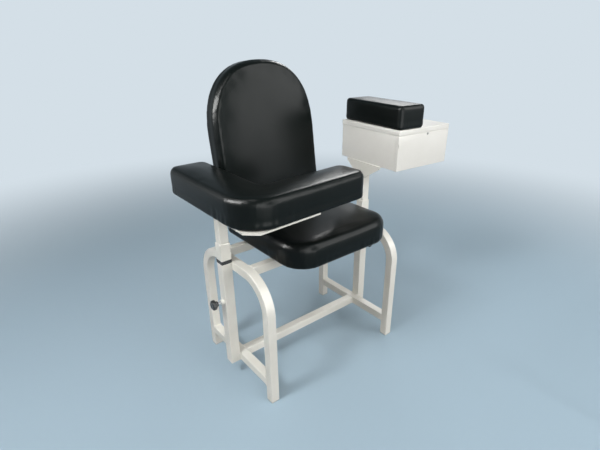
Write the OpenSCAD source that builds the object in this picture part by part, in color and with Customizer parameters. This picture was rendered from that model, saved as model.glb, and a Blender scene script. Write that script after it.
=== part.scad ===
// Phlebotomy chair: welded tube frame, upholstered seat and back, a swinging
// L-shaped arm pad on one mast and a drawer box with an arm pad on the other.
// The chair faces -Y, X runs across it and Z is up from the floor.

/* [Side frames] */
// Outside width of the square frame tube
frame_tube = 30; // [26:1:32]
// Wall of the frame tube
frame_wall = 2; // [1.5:0.25:3]
// Outside corner radius of all square tubes
tube_round = 2.5; // [1:0.25:3]
// Distance between the centre planes of the two hoops
hoop_span = 554; // [530:2:600]
// Distance between the centres of a hoop's two legs
leg_span = 384; // [370:2:430]
// Height of the top of the hoops above the floor
hoop_height = 450; // [430:5:480]
// Centreline radius of the hoop's bends
hoop_bend = 105; // [80:1:110]
// Height of the low rails' centreline above the floor
low_rail_height = 74; // [60:2:110]
// Height of a foot cap under the end of its leg
cap_height = 5; // [4:1:10]
// Depth of a foot cap's plug inside the leg
cap_plug = 18; // [12:1:30]
// Radius of a foot cap's lower edge
cap_round = 3; // [1:0.5:4]

/* [Seat] */
// Width of the seat cushion
seat_width = 422; // [390:2:430]
// Depth of the seat cushion from front to rear
seat_depth = 430; // [400:2:440]
// Distance that the seat reaches in front of the hoops' middle
seat_reach = 230; // [215:1:240]
// Sideways place of the seat cushion from the chair's middle
seat_shift = 16; // [0:1:18]
// Height of the seat cushion's sides
seat_side = 82; // [70:1:95]
// Rise of the seat cushion's crown
seat_crown = 8; // [2:1:14]
// Radius of the seat cushion's lower edge
seat_low_round = 20; // [8:1:22]
// Radius of the seat's front corners seen from above
seat_corner = 88; // [60:1:110]
// Radius of the seat's rear corners seen from above
seat_rear_corner = 32; // [28:1:60]
// Width of a seat rail
seat_rail_width = 25; // [20:1:30]
// Height of a seat rail
seat_rail_tall = 30; // [25:1:35]
// Distance between the centres of the two seat rails
seat_rail_span = 164; // [140:2:170]

/* [Back] */
// Width of the back cushion
back_width = 414; // [380:2:420]
// Height of the back cushion along its lean
back_height = 477; // [430:1:500]
// Height of the arched top of the back cushion
back_arch = 238; // [200:2:250]
// Thickness of the back cushion at its edge
back_side = 66; // [55:1:70]
// Rise of the back cushion's crown
back_crown = 6; // [2:1:10]
// Radius of the back cushion's lower corners
back_corner = 62; // [58:1:80]
// Lean of the back from upright, in degrees
back_lean = 8.2; // [5:0.1:12]
// Clear height between the seat's crown and the back cushion
back_gap = 6; // [5:1:30]
// Outside width of the square tube of the back's uprights
upright_tube = 25; // [20:1:28]
// Distance between the two uprights
upright_span = 200; // [160:2:240]
// Centreline radius of the upright's lower bend
upright_bend = 30; // [26:1:36]
// Length of each upright along the back cushion
upright_length = 290; // [240:5:320]
// Clearance between the seat cushion and the uprights
upright_gap = 4; // [2:0.5:8]

/* [Padding] */
// Thickness of the plywood boards in the cushions
board = 12; // [9:1:15]
// Distance of a board's edge inside the rounding of its cushion's lower edge
board_edge = 3; // [2:0.5:6]
// Radius of a cushion's upper edge
top_round = 18; // [12:1:20]
// Radius of a cushion's lower edge
low_round = 9; // [6:1:10]

/* [Masts] */
// Outside width of a mast tube and of the sleeve above it
mast_tube = 35; // [34:0.5:38]
// Wall of a mast tube
mast_wall = 2; // [1.5:0.25:2.5]
// Distance of a mast's top below the top of the hoops
mast_drop = 2; // [0:1:10]
// Height of the black collar on top of a mast
collar_height = 12; // [8:1:16]
// Distance that the collar stands proud of the mast
collar_proud = 0.8; // [0.4:0.1:2]
// Depth of the collar's plug inside the mast
collar_plug = 40; // [30:1:50]
// Diameter of the round lift shaft
shaft_diameter = 22; // [20:0.5:23]
// Length of the round lift shaft
shaft_length = 372; // [360:2:380]
// Travel of the height adjustment
lift_travel = 150; // [100:5:155]
// Length of the sleeve that turns on the collar
sleeve_length = 55; // [45:1:65]
// Outside width of the square post above the sleeve
post_tube = 30; // [29:0.25:30]
// Wall of the square post
post_wall = 2; // [1.5:0.25:2.5]
// Length of the swivel bush inside the post
swivel_length = 50; // [40:1:60]
// Thickness of the swivel bush's closed top
swivel_cap = 4; // [3:0.5:6]

/* [Clamp knobs] */
// Height of the clamp knobs above the floor
knob_height = 308; // [295:1:320]
// Diameter over a knob's lobes
knob_diameter = 36; // [30:1:44]
// Thickness of a knob's head
knob_thick = 16; // [12:1:20]
// Number of lobes on a knob
knob_lobes = 6; // [5:1:8]
// Diameter of a knob's hub
knob_hub = 18; // [16:1:22]
// Length of a knob's hub towards the mast
knob_hub_length = 5; // [3:1:8]
// Diameter of the clamp stud
stud_diameter = 10; // [8:1:12]
// Length of stud that shows between the knob and the boss
stud_show = 12; // [8:1:20]
// Depth of the stud inside the knob
stud_depth = 12; // [8:1:15]
// Diameter of the threaded boss on the mast
boss_diameter = 18; // [16:1:22]
// Length of the threaded boss
boss_length = 9; // [6:1:12]

/* [L-shaped arm pad] */
// Height of the underside of the L-shaped pad at its lowest
arm_height = 630.5; // [620:0.5:660]
// Width of the pad's side bar
arm_side_width = 135; // [120:1:138]
// Distance from the mast's axis to the side bar's outer edge
arm_out = 57; // [54:1:68]
// Width of the pad's cross bar in front of the sitter
arm_cross_width = 121; // [110:1:130]
// Distance from the mast's axis to the pad's outer front corner
arm_front = 247; // [230:1:255]
// Distance that the pad reaches behind its mast
arm_rear = 226; // [200:1:232]
// Length of the cross bar from the pad's outer front corner
arm_cross = 460; // [430:1:465]
// Angle by which the cross bar opens from square, in degrees
arm_splay = 3.5; // [0:0.1:5]
// Radius of the pad's outer corner seen from above
arm_corner = 100; // [80:1:105]
// Radius of the pad's inner corner
arm_inner_corner = 18; // [12:1:40]
// Radius of the corners at the pad's two ends
arm_end_corner = 32; // [30:1:45]
// Height of the L-shaped pad's sides
arm_side = 87; // [70:1:90]
// Rise of the L-shaped pad's crown
arm_crown = 5; // [2:1:8]
// Thickness of the steel plate under the L-shaped pad
arm_plate = 5; // [4:0.5:6]
// Distance from the mast's axis to the plate's outer edge
plate_out = 43; // [38:1:44]
// Width of the plate's leg along the side bar
plate_side_width = 95; // [80:1:105]
// Width of the plate's leg along the cross bar
plate_cross_width = 88; // [80:1:100]
// Distance of the plate's front edge behind the pad's front
plate_inset = 7; // [3:1:12]
// Distance that the plate reaches inwards from the mast
plate_cross = 206; // [180:1:260]
// Distance that the plate reaches behind the mast
plate_rear = 150; // [120:1:180]
// Size of the cut across the plate's outer corner
plate_cut = 34; // [20:1:38]

/* [Drawer box] */
// Height of the underside of the drawer box at its lowest
box_height = 668; // [655:1:690]
// Turn of the drawer box as shown, in degrees
box_turn = 4.3; // [0:0.1:6]
// Width of the drawer box
box_width = 255; // [240:1:270]
// Depth of the drawer box
box_depth = 298; // [285:1:310]
// Height of the drawer box with its lid
box_tall = 139; // [130:1:150]
// Distance that the box reaches in front of its mast
box_front = 176; // [165:1:185]
// Thickness of the box's sheet steel
sheet = 1.2; // [1:0.1:1.5]
// Depth of the lid's rim
lid_rim = 18; // [14:1:22]
// Depth of the drawer front's folded edges
front_fold = 16; // [12:1:20]
// Height of the small slot in the folded corner of the drawer front
corner_slot = 12; // [6:1:20]
// Width of that slot on each face
corner_slot_wide = 2.5; // [2:0.5:4]
// Distance of that slot below the drawer front's top
corner_slot_drop = 27; // [16:1:60]
// Height of the drawer tray's walls
tray_tall = 84; // [60:1:90]
// Length of the drawer tray
tray_length = 272; // [240:1:276]
// Travel of the drawer
drawer_travel = 200; // [150:5:205]
// Height of a fixed runner
runner_tall = 30; // [26:1:36]
// Width between the case and the tray for a runner
runner_wide = 12.5; // [11:0.5:14]
// Wall of the runners
runner_wall = 1.5; // [1.2:0.1:2]
// Diameter of the lock's face
lock_face = 8; // [6.5:0.5:9]
// Diameter of the lock's barrel
lock_barrel_diameter = 6; // [5:0.5:6.5]
// Distance of the lock's centre below the drawer front's top
lock_drop = 5; // [4.8:0.1:8]
// Sideways place of the lock from the middle of the drawer front
lock_shift = 14; // [0:1:20]
// Length of the lock's cam
cam_length = 16; // [14:0.5:20]
// Width of the lock's cam
cam_width = 6; // [5:0.5:7]
// Thickness of the lock's cam
cam_thick = 1.6; // [1:0.1:2]
// Thickness of the bracket under the drawer box
bracket_wall = 3; // [2:0.5:4]
// Distance that the bracket reaches in front of the mast
bracket_front = 98; // [80:1:105]
// Distance that the bracket reaches behind the mast
bracket_rear = 81; // [70:1:95]
// Height of the bracket's side plate
bracket_drop = 58; // [45:1:70]
// Height of the square ends of the bracket's side plate
bracket_lip = 8; // [5:1:12]
// Length of the bracket's lower edge
bracket_foot = 36; // [32:1:60]
// Distance that the bracket's top plate reaches outwards from the mast
bracket_reach = 200; // [150:5:215]

/* [Box pad] */
// Width of the pad on the drawer box
box_pad_width = 115; // [100:1:130]
// Turn of the pad on its lid, in degrees
box_pad_turn = 2; // [0:0.1:3]
// Height of the box pad's sides
box_pad_side = 77; // [60:1:85]
// Rise of the box pad's crown
box_pad_crown = 4; // [2:1:8]
// Corner radius of the box pad seen from above
box_pad_corner = 14; // [13:1:25]
// Radius of the box pad's upper edge
box_pad_round = 9; // [6:1:12]

/* [Fasteners] */
// Thread diameter of the seat and back bolts
bolt = 6; // [5:0.5:8]
// Diameter of the seat and back bolts' heads
bolt_head = 12; // [10:0.5:14]
// Height of the seat and back bolts' heads
bolt_head_tall = 4; // [3:0.5:5]
// Thread diameter of the small screws
screw = 5; // [4:0.25:5.5]
// Diameter of the small screws' heads
screw_head = 10; // [8:0.5:11]
// Height of the small screws' heads
screw_head_tall = 2.5; // [2:0.25:3]

/* [Hidden] */

$fn = 64;
// Overrun of every cut
over = 1;
// Gap between two pieces that move on each other
gap = 0.3;
// Radial running clearance of shafts and studs
running = 0.05;
// Fit of a plug or a post pushed into a tube, on each side
fit = 0.1;
// Radial clearance of bolt and screw holes
hole_gap = 0.25;
// Wall of the sleeve above the collar
sleeve_wall = (mast_tube - post_tube) / 2 - fit;
// Gap between a drawer tray and the floor of its case
tray_gap = 5;
// Smallest corner radius left where a cushion's outline is drawn in
least_round = 3;
// Distance that a cushion's crown rises inwards from its edge
crown_run = 44;
// Facets at each corner of a cushion's outline, around its edges and over its crown
corner_steps = 8;
edge_steps = 4;
crown_steps = 3;
// Flats around the upright's lower bend
bend_steps = 18;
// Points along the arch of the back cushion and the power of its curve
arch_steps = 30;
arch_power = 2.36;
// Place of the arm screws as shares of the plate's two legs
screw_share = 0.3;

// Worked out places of the frame
hoop_x = hoop_span / 2;
leg_y = leg_span / 2;
mast_x = hoop_x + frame_tube / 2 + mast_tube / 2;
hoop_mid = hoop_height - frame_tube / 2;
bend_z = hoop_mid - hoop_bend;
bend_y = leg_y - hoop_bend;
inner_x = hoop_x - frame_tube / 2;
rail_y = seat_rail_span / 2;
rail_mid = hoop_height - seat_rail_tall / 2;
mast_low = low_rail_height - frame_tube / 2;
mast_top = hoop_height - mast_drop;
collar_top = mast_top + collar_height;
head_low = collar_top + gap;
mast_bore = mast_tube - 2 * mast_wall;
post_bore = post_tube - 2 * post_wall;
shaft_top = head_low + swivel_length - swivel_cap - gap;
shaft_low = shaft_top - shaft_length;
stud_tip = mast_x + shaft_diameter / 2 + gap;
boss_end = mast_x + mast_tube / 2 + boss_length;
hub_end = boss_end + stud_show;
knob_face = hub_end + knob_hub_length;

// Worked out places of the seat and the back
seat_rear = seat_depth - seat_reach;
seat_top = hoop_height + seat_side + seat_crown;
upright_y = seat_rear + upright_gap + upright_tube / 2;
// Height at which the uprights start to lean
upright_turn = hoop_height + seat_side + board;
back_low = seat_top + back_gap;
// Distance along the lean from the uprights' turn to the cushion's lower edge
back_start = (back_low - upright_turn) / cos(back_lean) - upright_tube / 2 * tan(back_lean);
// Half the width of the back above its straight sides
back_half = back_width / 2;
back_straight = back_height - back_arch;

// Worked out places of the arm and the box
plate_low = arm_height - arm_plate;
bracket_top = box_height - bracket_wall;
box_in = -post_tube / 2;
box_out = box_in + box_width;
box_rear = box_depth - box_front;
case_step = sheet + fit;
case_in = box_in + case_step;
case_out = box_out - case_step;
case_rear = box_rear - case_step;
case_front = -box_front + front_fold + gap;
case_top = box_height + box_tall - sheet;
rim_low = box_height + box_tall - lid_rim;
front_top = rim_low - gap;
tray_in = case_in + sheet + runner_wide;
tray_out = case_out - sheet - runner_wide;
tray_low = box_height + sheet + tray_gap;
tray_front = -box_front + sheet;
tray_mid = (tray_in + tray_out) / 2;
runner_mid = tray_low + tray_tall / 2;
lock_z = front_top - lock_drop;
lock_x = tray_mid + lock_shift;
header_low = lock_z + lock_barrel_diameter / 2 + gap;
header_rear = case_front + sheet;
pad_low = box_height + box_tall;

// Flat profiles
module soft_square(w, h, r) {
  square([w - 2 * r, h], center = true);
  square([w, h - 2 * r], center = true);
  for (x = [-1, 1], y = [-1, 1])
    translate([x * (w / 2 - r), y * (h / 2 - r)]) circle(r);
}

module tube_face(w, h, wall) {
  difference() {
    soft_square(w, h, tube_round);
    square([w - 2 * wall, h - 2 * wall], center = true);
  }
}

// Straight tube along Z from 0 to its length
module tube(w, h, wall, length) {
  linear_extrude(length) tube_face(w, h, wall);
}

// Square tube bent in the XY plane around the origin, from the X axis
module tube_bend(w, wall, radius, turn) {
  rotate_extrude(angle = turn) translate([radius, 0]) tube_face(w, w, wall);
}

// Outline helpers for the cushions, all anticlockwise seen from above
function unit(v) = v / norm(v);
function at(list, i) = list[(i + len(list)) % len(list)];
function left_of(a, b) = let(d = unit(b - a)) [-d[1], d[0]];
function turn_of(a, b, c) = sign(cross(b - a, c - b));
function corner_points(a, b, c, r) =
  let(u = unit(a - b), w = unit(c - b), h = acos(u * w) / 2,
    m = b + unit(u + w) * r / sin(h), s = b + u * r / tan(h),
    start = atan2(s[1] - m[1], s[0] - m[0]), sweep = turn_of(a, b, c) * (180 - 2 * h))
  [for (i = [0:corner_steps]) let(g = start + sweep * i / corner_steps) m + r * [cos(g), sin(g)]];
function moved_corner(a, b, c, d) = let(n = left_of(a, b), m = left_of(b, c)) b + d * (n + m) / (1 + n * m);
function ring(p, r, d) =
  let(q = [for (i = [0:len(p) - 1]) moved_corner(at(p, i - 1), p[i], at(p, i + 1), d)],
    s = [for (i = [0:len(p) - 1]) turn_of(at(p, i - 1), p[i], at(p, i + 1)) > 0
      ? max(r[i] - d, least_round) : r[i] + d])
  [for (i = [0:len(p) - 1]) each corner_points(at(q, i - 1), q[i], at(q, i + 1), s[i])];

// Steps of a cushion's section: distance inwards and height
function pad_steps(side, crown, round, low) = concat(
  [[low + board_edge, board], [low + board_edge, 0]],
  [for (i = [0:edge_steps]) let(a = 90 * i / edge_steps) low * [1 - sin(a), 1 - cos(a)]],
  [for (i = [0:edge_steps]) let(a = 90 * i / edge_steps)
    [round * (1 - cos(a)), side - round * (1 - sin(a))]],
  [for (i = [1:crown_steps]) let(f = i / crown_steps)
    [round + f * (crown_run - round), side + crown * (1 - (1 - f) * (1 - f))]]);

// Closed solid through rings of equal count, with a hub point at each end
module loft(rings, heights, hub) {
  n = len(rings[0]);
  m = len(rings);
  points = concat(
    [for (k = [0:m - 1], i = [0:n - 1]) [rings[k][i][0], rings[k][i][1], heights[k]]],
    [[hub[0], hub[1], heights[0]], [hub[0], hub[1], heights[m - 1]]]);
  faces = concat(
    [for (k = [0:m - 2], i = [0:n - 1]) [k * n + i, (k + 1) * n + i, (k + 1) * n + (i + 1) % n]],
    [for (k = [0:m - 2], i = [0:n - 1]) [k * n + i, (k + 1) * n + (i + 1) % n, k * n + (i + 1) % n]],
    [for (i = [0:n - 1]) [m * n, i, (i + 1) % n]],
    [for (i = [0:n - 1]) [m * n + 1, (m - 1) * n + (i + 1) % n, (m - 1) * n + i]]);
  polyhedron(points, faces);
}

module pad(p, r, side, crown, round, low, hub) {
  steps = pad_steps(side, crown, round, low);
  loft([for (s = steps) ring(p, r, s[0])], [for (s = steps) s[1]], hub);
}

module pad_board(p, r, low) {
  linear_extrude(board) polygon(ring(p, r, low + board_edge + fit));
}

// Bolt with its head down: the head's top is at z = 0 and the shank rises
module headed(d, head, head_tall, length) {
  translate([0, 0, -head_tall]) cylinder(h = head_tall, d = head);
  translate([0, 0, -head_tall / 2]) cylinder(h = length + head_tall / 2, d = d);
}

// Frame
module hoop_path(w, wall) {
  for (s = [-1, 1]) {
    translate([0, s * leg_y, cap_height]) tube(w, w, wall, bend_z - cap_height);
    translate([0, s * bend_y, bend_z]) rotate([0, 0, s * 90]) rotate([90, 0, 0])
      tube_bend(w, wall, hoop_bend, 90);
  }
  translate([0, -bend_y, hoop_mid]) rotate([-90, 0, 0]) tube(w, w, wall, 2 * bend_y);
}

module left_hoop() {
  color("gainsboro") translate([-hoop_x, 0, 0]) hoop_path(frame_tube, frame_wall);
}

module right_hoop() {
  color("gainsboro") translate([hoop_x, 0, 0]) hoop_path(frame_tube, frame_wall);
}

module side_rail() {
  length = leg_span - frame_tube;
  translate([0, -length / 2, low_rail_height]) rotate([-90, 0, 0])
    tube(frame_tube, frame_tube, frame_wall, length);
}

module left_side_rail() {
  color("lightgray") translate([-hoop_x, 0, 0]) side_rail();
}

module right_side_rail() {
  color("lightgray") translate([hoop_x, 0, 0]) side_rail();
}

module stretcher() {
  color("silver") translate([-inner_x, 0, low_rail_height]) rotate([0, 90, 0])
    tube(frame_tube, frame_tube, frame_wall, 2 * inner_x);
}

module seat_rail(y) {
  difference() {
    translate([-inner_x, y, rail_mid]) rotate([0, 90, 0])
      tube(seat_rail_tall, seat_rail_width, frame_wall, 2 * inner_x);
    for (x = seat_bolt_x) translate([x, y, rail_mid - seat_rail_tall])
      cylinder(h = 2 * seat_rail_tall, d = bolt + 2 * hole_gap);
  }
}

// Places of the seat bolts along each rail
seat_bolt_share = 0.32;
seat_bolt_x = [for (s = [-1, 1]) seat_shift + s * seat_width * seat_bolt_share];

module front_seat_rail() {
  color("silver") seat_rail(-rail_y);
}

module rear_seat_rail() {
  color("silver") seat_rail(rail_y);
}

// Mast on the +X side, the other one is its mirror image
module mast() {
  difference() {
    translate([mast_x, 0, mast_low]) tube(mast_tube, mast_tube, mast_wall, mast_top - mast_low);
    translate([mast_x, 0, knob_height]) rotate([0, 90, 0])
      cylinder(h = mast_tube, d = stud_diameter + 2 * hole_gap);
  }
}

module left_mast_tube() {
  color("whitesmoke") mirror([1, 0, 0]) mast();
}

module right_mast_tube() {
  color("whitesmoke") mast();
}

module foot_cap() {
  difference() {
    union() {
      intersection() {
        linear_extrude(cap_height) soft_square(frame_tube, frame_tube, tube_round);
        rotate([90, 0, 0]) linear_extrude(frame_tube, center = true) cap_side();
        rotate([90, 0, 90]) linear_extrude(frame_tube, center = true) cap_side();
      }
      translate([0, 0, cap_height / 2]) linear_extrude(cap_plug + cap_height / 2)
        square(frame_tube - 2 * frame_wall - 2 * fit, center = true);
    }
    translate([0, 0, cap_height]) linear_extrude(cap_plug + over)
      square(frame_tube - 4 * frame_wall - 2 * fit, center = true);
  }
}

// Side view of a cap's head with its lower corners rounded
module cap_side() {
  translate([-frame_tube / 2, cap_round]) square([frame_tube, cap_height - cap_round]);
  translate([cap_round - frame_tube / 2, 0]) square([frame_tube - 2 * cap_round, cap_height]);
  for (x = [-1, 1]) translate([x * (frame_tube / 2 - cap_round), cap_round]) circle(cap_round);
}

module foot_caps() {
  color("lightsteelblue") for (x = [-hoop_x, hoop_x], y = [-leg_y, leg_y])
    translate([x, y, 0]) foot_cap();
}

// Collar on a mast: it stands proud of the mast only above the hoop beside it
module collar() {
  difference() {
    union() {
      translate([mast_x, 0, mast_top]) linear_extrude(collar_height)
        soft_square(mast_tube, mast_tube, tube_round);
      translate([mast_x, 0, hoop_height]) linear_extrude(collar_top - hoop_height)
        soft_square(mast_tube + 2 * collar_proud, mast_tube + 2 * collar_proud, tube_round);
      translate([mast_x, 0, mast_top - collar_plug]) linear_extrude(collar_plug + over)
        square(mast_bore - 2 * fit, center = true);
    }
    translate([mast_x, 0, mast_top - collar_plug - over])
      cylinder(h = collar_plug + collar_height + 2 * over, d = shaft_diameter + 2 * running);
  }
}

module left_collar_bush() {
  color("dimgray") mirror([1, 0, 0]) collar();
}

module right_collar_bush() {
  color("dimgray") collar();
}

module clamp_boss() {
  difference() {
    translate([mast_x + mast_tube / 2, 0, knob_height]) rotate([0, 90, 0])
      cylinder(h = boss_length, d = boss_diameter);
    translate([mast_x, 0, knob_height]) rotate([0, 90, 0])
      cylinder(h = mast_tube + boss_length, d = stud_diameter + 2 * running);
  }
}

module left_clamp_boss() {
  color("white") mirror([1, 0, 0]) clamp_boss();
}

module right_clamp_boss() {
  color("white") clamp_boss();
}

// Seat
seat_outline = [
  [seat_shift - seat_width / 2, -seat_reach], [seat_shift + seat_width / 2, -seat_reach],
  [seat_shift + seat_width / 2, seat_rear], [seat_shift - seat_width / 2, seat_rear]];
seat_radii = [seat_corner, seat_corner, seat_rear_corner, seat_rear_corner];
seat_hub = [seat_shift, (seat_rear - seat_reach) / 2];

module seat_board() {
  color("burlywood") difference() {
    translate([0, 0, hoop_height]) pad_board(seat_outline, seat_radii, seat_low_round);
    for (x = seat_bolt_x, y = [-rail_y, rail_y]) translate([x, y, hoop_height - over])
      cylinder(h = board + over - gap, d = bolt + 2 * fit);
  }
}

module seat_cushion() {
  color("darkslategray") translate([0, 0, hoop_height])
    pad(seat_outline, seat_radii, seat_side, seat_crown, top_round, seat_low_round, seat_hub);
}

module seat_bolts() {
  color("slategray") for (x = seat_bolt_x, y = [-rail_y, rail_y])
    translate([x, y, hoop_height - seat_rail_tall])
      headed(bolt, bolt_head, bolt_head_tall, seat_rail_tall + board - 2 * gap);
}

// Uprights: out of the rear seat rail, up behind the seat, then along the back.
// One side of the upright's side view, at a distance from its centreline
function upright_side(o, extra) =
  let(y1 = upright_y - upright_bend, z1 = rail_mid + upright_bend, r = upright_bend + o,
    l = upright_length + extra)
  concat([[rail_y + seat_rail_width / 2 - extra, rail_mid - o]],
    [for (i = [0:bend_steps]) let(a = 90 * i / bend_steps) [y1 + r * sin(a), z1 - r * cos(a)]],
    [[upright_y + o, upright_turn - o * tan(back_lean / 2)],
      [upright_y + l * sin(back_lean) + o * cos(back_lean),
        upright_turn + l * cos(back_lean) - o * sin(back_lean)]]);
function backwards(list) = [for (i = [len(list) - 1:-1:0]) list[i]];

module upright_band(width, extra) {
  rotate([90, 0, 90]) linear_extrude(width, center = true)
    polygon(concat(upright_side(width / 2, extra), backwards(upright_side(-width / 2, extra))));
}

module upright() {
  difference() {
    upright_band(upright_tube, 0);
    upright_band(upright_tube - 2 * frame_wall, over);
    for (s = back_bolt_places) on_lean() translate([0, -upright_tube, s]) rotate([-90, 0, 0])
      cylinder(h = 2 * upright_tube, d = bolt + 2 * hole_gap);
  }
}

// Moves a piece to the upright's turn, with Z along the lean
module on_lean() {
  translate([0, upright_y, upright_turn]) rotate([-back_lean, 0, 0]) children();
}

// Places of the back bolts along the lean, as shares of the uprights' length
back_bolt_shares = [0.42, 0.9];
back_bolt_places = [for (s = back_bolt_shares) upright_length * s];

module left_back_upright() {
  color("silver") translate([-upright_span / 2, 0, 0]) upright();
}

module right_back_upright() {
  color("silver") translate([upright_span / 2, 0, 0]) upright();
}

// Back: its outline lies in the plane of the lean, lower edge at y = 0
function arch_point(a, d) =
  let(w = back_half - d, h = back_arch - d)
  [w * sign(cos(a)) * pow(abs(cos(a)), 2 / arch_power), back_straight + h * pow(sin(a), 2 / arch_power)];
function back_ring(d) =
  let(x = back_half - d, r = back_corner - d)
  concat(
    corner_points([-x, back_straight], [-x, d], [x, d], r),
    corner_points([-x, d], [x, d], [x, back_straight], r),
    [for (i = [0:arch_steps]) arch_point(180 * i / arch_steps, d)]);

module on_back() {
  on_lean() translate([0, -upright_tube / 2, back_start]) rotate([90, 0, 0]) children();
}

module back_board() {
  color("burlywood") difference() {
    on_back() linear_extrude(board) polygon(back_ring(low_round + board_edge + fit));
    back_bolt_bores(bolt + 2 * fit);
  }
}

module back_cushion() {
  steps = pad_steps(back_side, back_crown, top_round, low_round);
  color("darkslategray") on_back()
    loft([for (s = steps) back_ring(s[0])], [for (s = steps) s[1]], [0, back_height / 2]);
}

module back_bolt_bores(d) {
  for (x = [-1, 1], s = back_bolt_places) on_lean()
    translate([x * upright_span / 2, upright_tube, s]) rotate([90, 0, 0])
      cylinder(h = 3 / 2 * upright_tube + board - gap, d = d);
}

module back_bolts() {
  color("slategray") for (x = [-1, 1], s = back_bolt_places) on_lean()
    translate([x * upright_span / 2, upright_tube / 2, s]) rotate([90, 0, 0])
      headed(bolt, bolt_head, bolt_head_tall, upright_tube + board - 2 * gap);
}

// Frames of the two swinging parts, with the mast's axis at the origin
module at_arm() {
  translate([-mast_x, 0, 0]) children();
}

module at_box() {
  translate([mast_x, 0, 0]) rotate([0, 0, -box_turn]) children();
}

module lift_shaft() {
  translate([0, 0, shaft_low]) cylinder(h = shaft_length, d = shaft_diameter);
}

module left_lift_shaft() {
  color("lightslategray") translate([-mast_x, 0, 0]) lift_shaft();
}

module right_lift_shaft() {
  color("lightslategray") translate([mast_x, 0, 0]) lift_shaft();
}

module swivel_bush() {
  difference() {
    translate([0, 0, head_low]) linear_extrude(swivel_length)
      square(post_bore - 2 * fit, center = true);
    translate([0, 0, head_low - over])
      cylinder(h = swivel_length - swivel_cap + over, d = shaft_diameter + 2 * running);
  }
}

module left_swivel_bush() {
  color("dimgray") at_arm() swivel_bush();
}

module right_swivel_bush() {
  color("dimgray") at_box() swivel_bush();
}

module head_sleeve() {
  translate([0, 0, head_low]) tube(mast_tube, mast_tube, sleeve_wall, sleeve_length);
}

module left_head_sleeve() {
  color("whitesmoke") at_arm() head_sleeve();
}

module right_head_sleeve() {
  color("whitesmoke") at_box() head_sleeve();
}

module post(top) {
  translate([0, 0, head_low]) tube(post_tube, post_tube, post_wall, top - head_low);
}

module arm_post() {
  color("white") at_arm() post(plate_low);
}

module box_post() {
  color("white") at_box() post(bracket_top);
}

// L-shaped arm: the side bar lies along Y, the cross bar opens from it by the splay
arm_inner_x = arm_side_width - arm_out;
arm_along = [cos(arm_splay), sin(arm_splay)];
arm_across = [-sin(arm_splay), cos(arm_splay)];
arm_start = [-arm_out, -arm_front];
// Height on Y at which a line along the cross bar, at a distance behind its front edge, meets a given X
function cross_y(x, back) = -arm_front + (back + (x + arm_out) * sin(arm_splay)) / cos(arm_splay);
arm_outline = [
  arm_start, arm_start + arm_cross * arm_along,
  arm_start + arm_cross * arm_along + arm_cross_width * arm_across,
  [arm_inner_x, cross_y(arm_inner_x, arm_cross_width)],
  [arm_inner_x, arm_rear], [-arm_out, arm_rear]];
arm_radii = [arm_corner, arm_end_corner, arm_end_corner, arm_inner_corner, arm_end_corner, arm_end_corner];
arm_hub = [(arm_inner_x - arm_out) / 2, cross_y(0, arm_cross_width / 2)];
plate_inner_x = plate_side_width - plate_out;
plate_back = plate_inset + plate_cross_width;
arm_screw_places = [
  [screw_share * plate_side_width - plate_out, plate_rear - plate_cut],
  [plate_inner_x - screw_share * plate_side_width, plate_rear - plate_cut],
  [screw_share * plate_side_width - plate_out, cross_y(0, plate_back)],
  [plate_inner_x - screw_share * plate_side_width,
    cross_y(0, plate_inset + screw_share * plate_cross_width)],
  [plate_cross - plate_cut, cross_y(plate_cross, plate_inset + screw_share * plate_cross_width)],
  [plate_cross - plate_cut, cross_y(plate_cross, plate_back - screw_share * plate_cross_width)]];

module arm_plate() {
  color("gainsboro") at_arm() difference() {
    translate([0, 0, plate_low]) linear_extrude(arm_plate) polygon([
      [plate_cut - plate_out, cross_y(plate_cut - plate_out, plate_inset)],
      [plate_cross, cross_y(plate_cross, plate_inset)],
      [plate_cross, cross_y(plate_cross, plate_back)], [plate_inner_x, cross_y(plate_inner_x, plate_back)],
      [plate_inner_x, plate_rear], [-plate_out, plate_rear],
      [-plate_out, cross_y(-plate_out, plate_inset + plate_cut)]]);
    for (p = arm_screw_places) translate([p[0], p[1], plate_low - over])
      cylinder(h = arm_plate + 2 * over, d = screw + 2 * hole_gap);
  }
}

module arm_board() {
  color("burlywood") at_arm() difference() {
    translate([0, 0, arm_height]) pad_board(arm_outline, arm_radii, low_round);
    for (p = arm_screw_places) translate([p[0], p[1], arm_height - over])
      cylinder(h = board + over - gap, d = screw + 2 * fit);
  }
}

module arm_pad() {
  color("darkslategray") at_arm() translate([0, 0, arm_height])
    pad(arm_outline, arm_radii, arm_side, arm_crown, top_round, low_round, arm_hub);
}

module arm_screws() {
  color("slategray") at_arm() for (p = arm_screw_places) translate([p[0], p[1], plate_low])
    headed(screw, screw_head, screw_head_tall, arm_plate + board - 2 * gap);
}

// Bracket under the drawer box: a top plate with a tapered plate on the inner face of the post.
// The tapered plate leaves room for the sleeve where the box stands low on its post.
bracket_low = box_height - bracket_drop;
bracket_side = [
  [-bracket_front, box_height - bracket_lip], [-bracket_foot / 2, bracket_low],
  [bracket_foot / 2, bracket_low], [bracket_rear, box_height - bracket_lip],
  [bracket_rear, bracket_top + bracket_wall / 2], [-bracket_front, bracket_top + bracket_wall / 2]];
bracket_screw_places = [for (x = [post_tube, bracket_reach - post_tube / 2],
  y = [-bracket_front + post_tube / 2, bracket_rear - post_tube / 2]) [x, y]];

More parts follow.
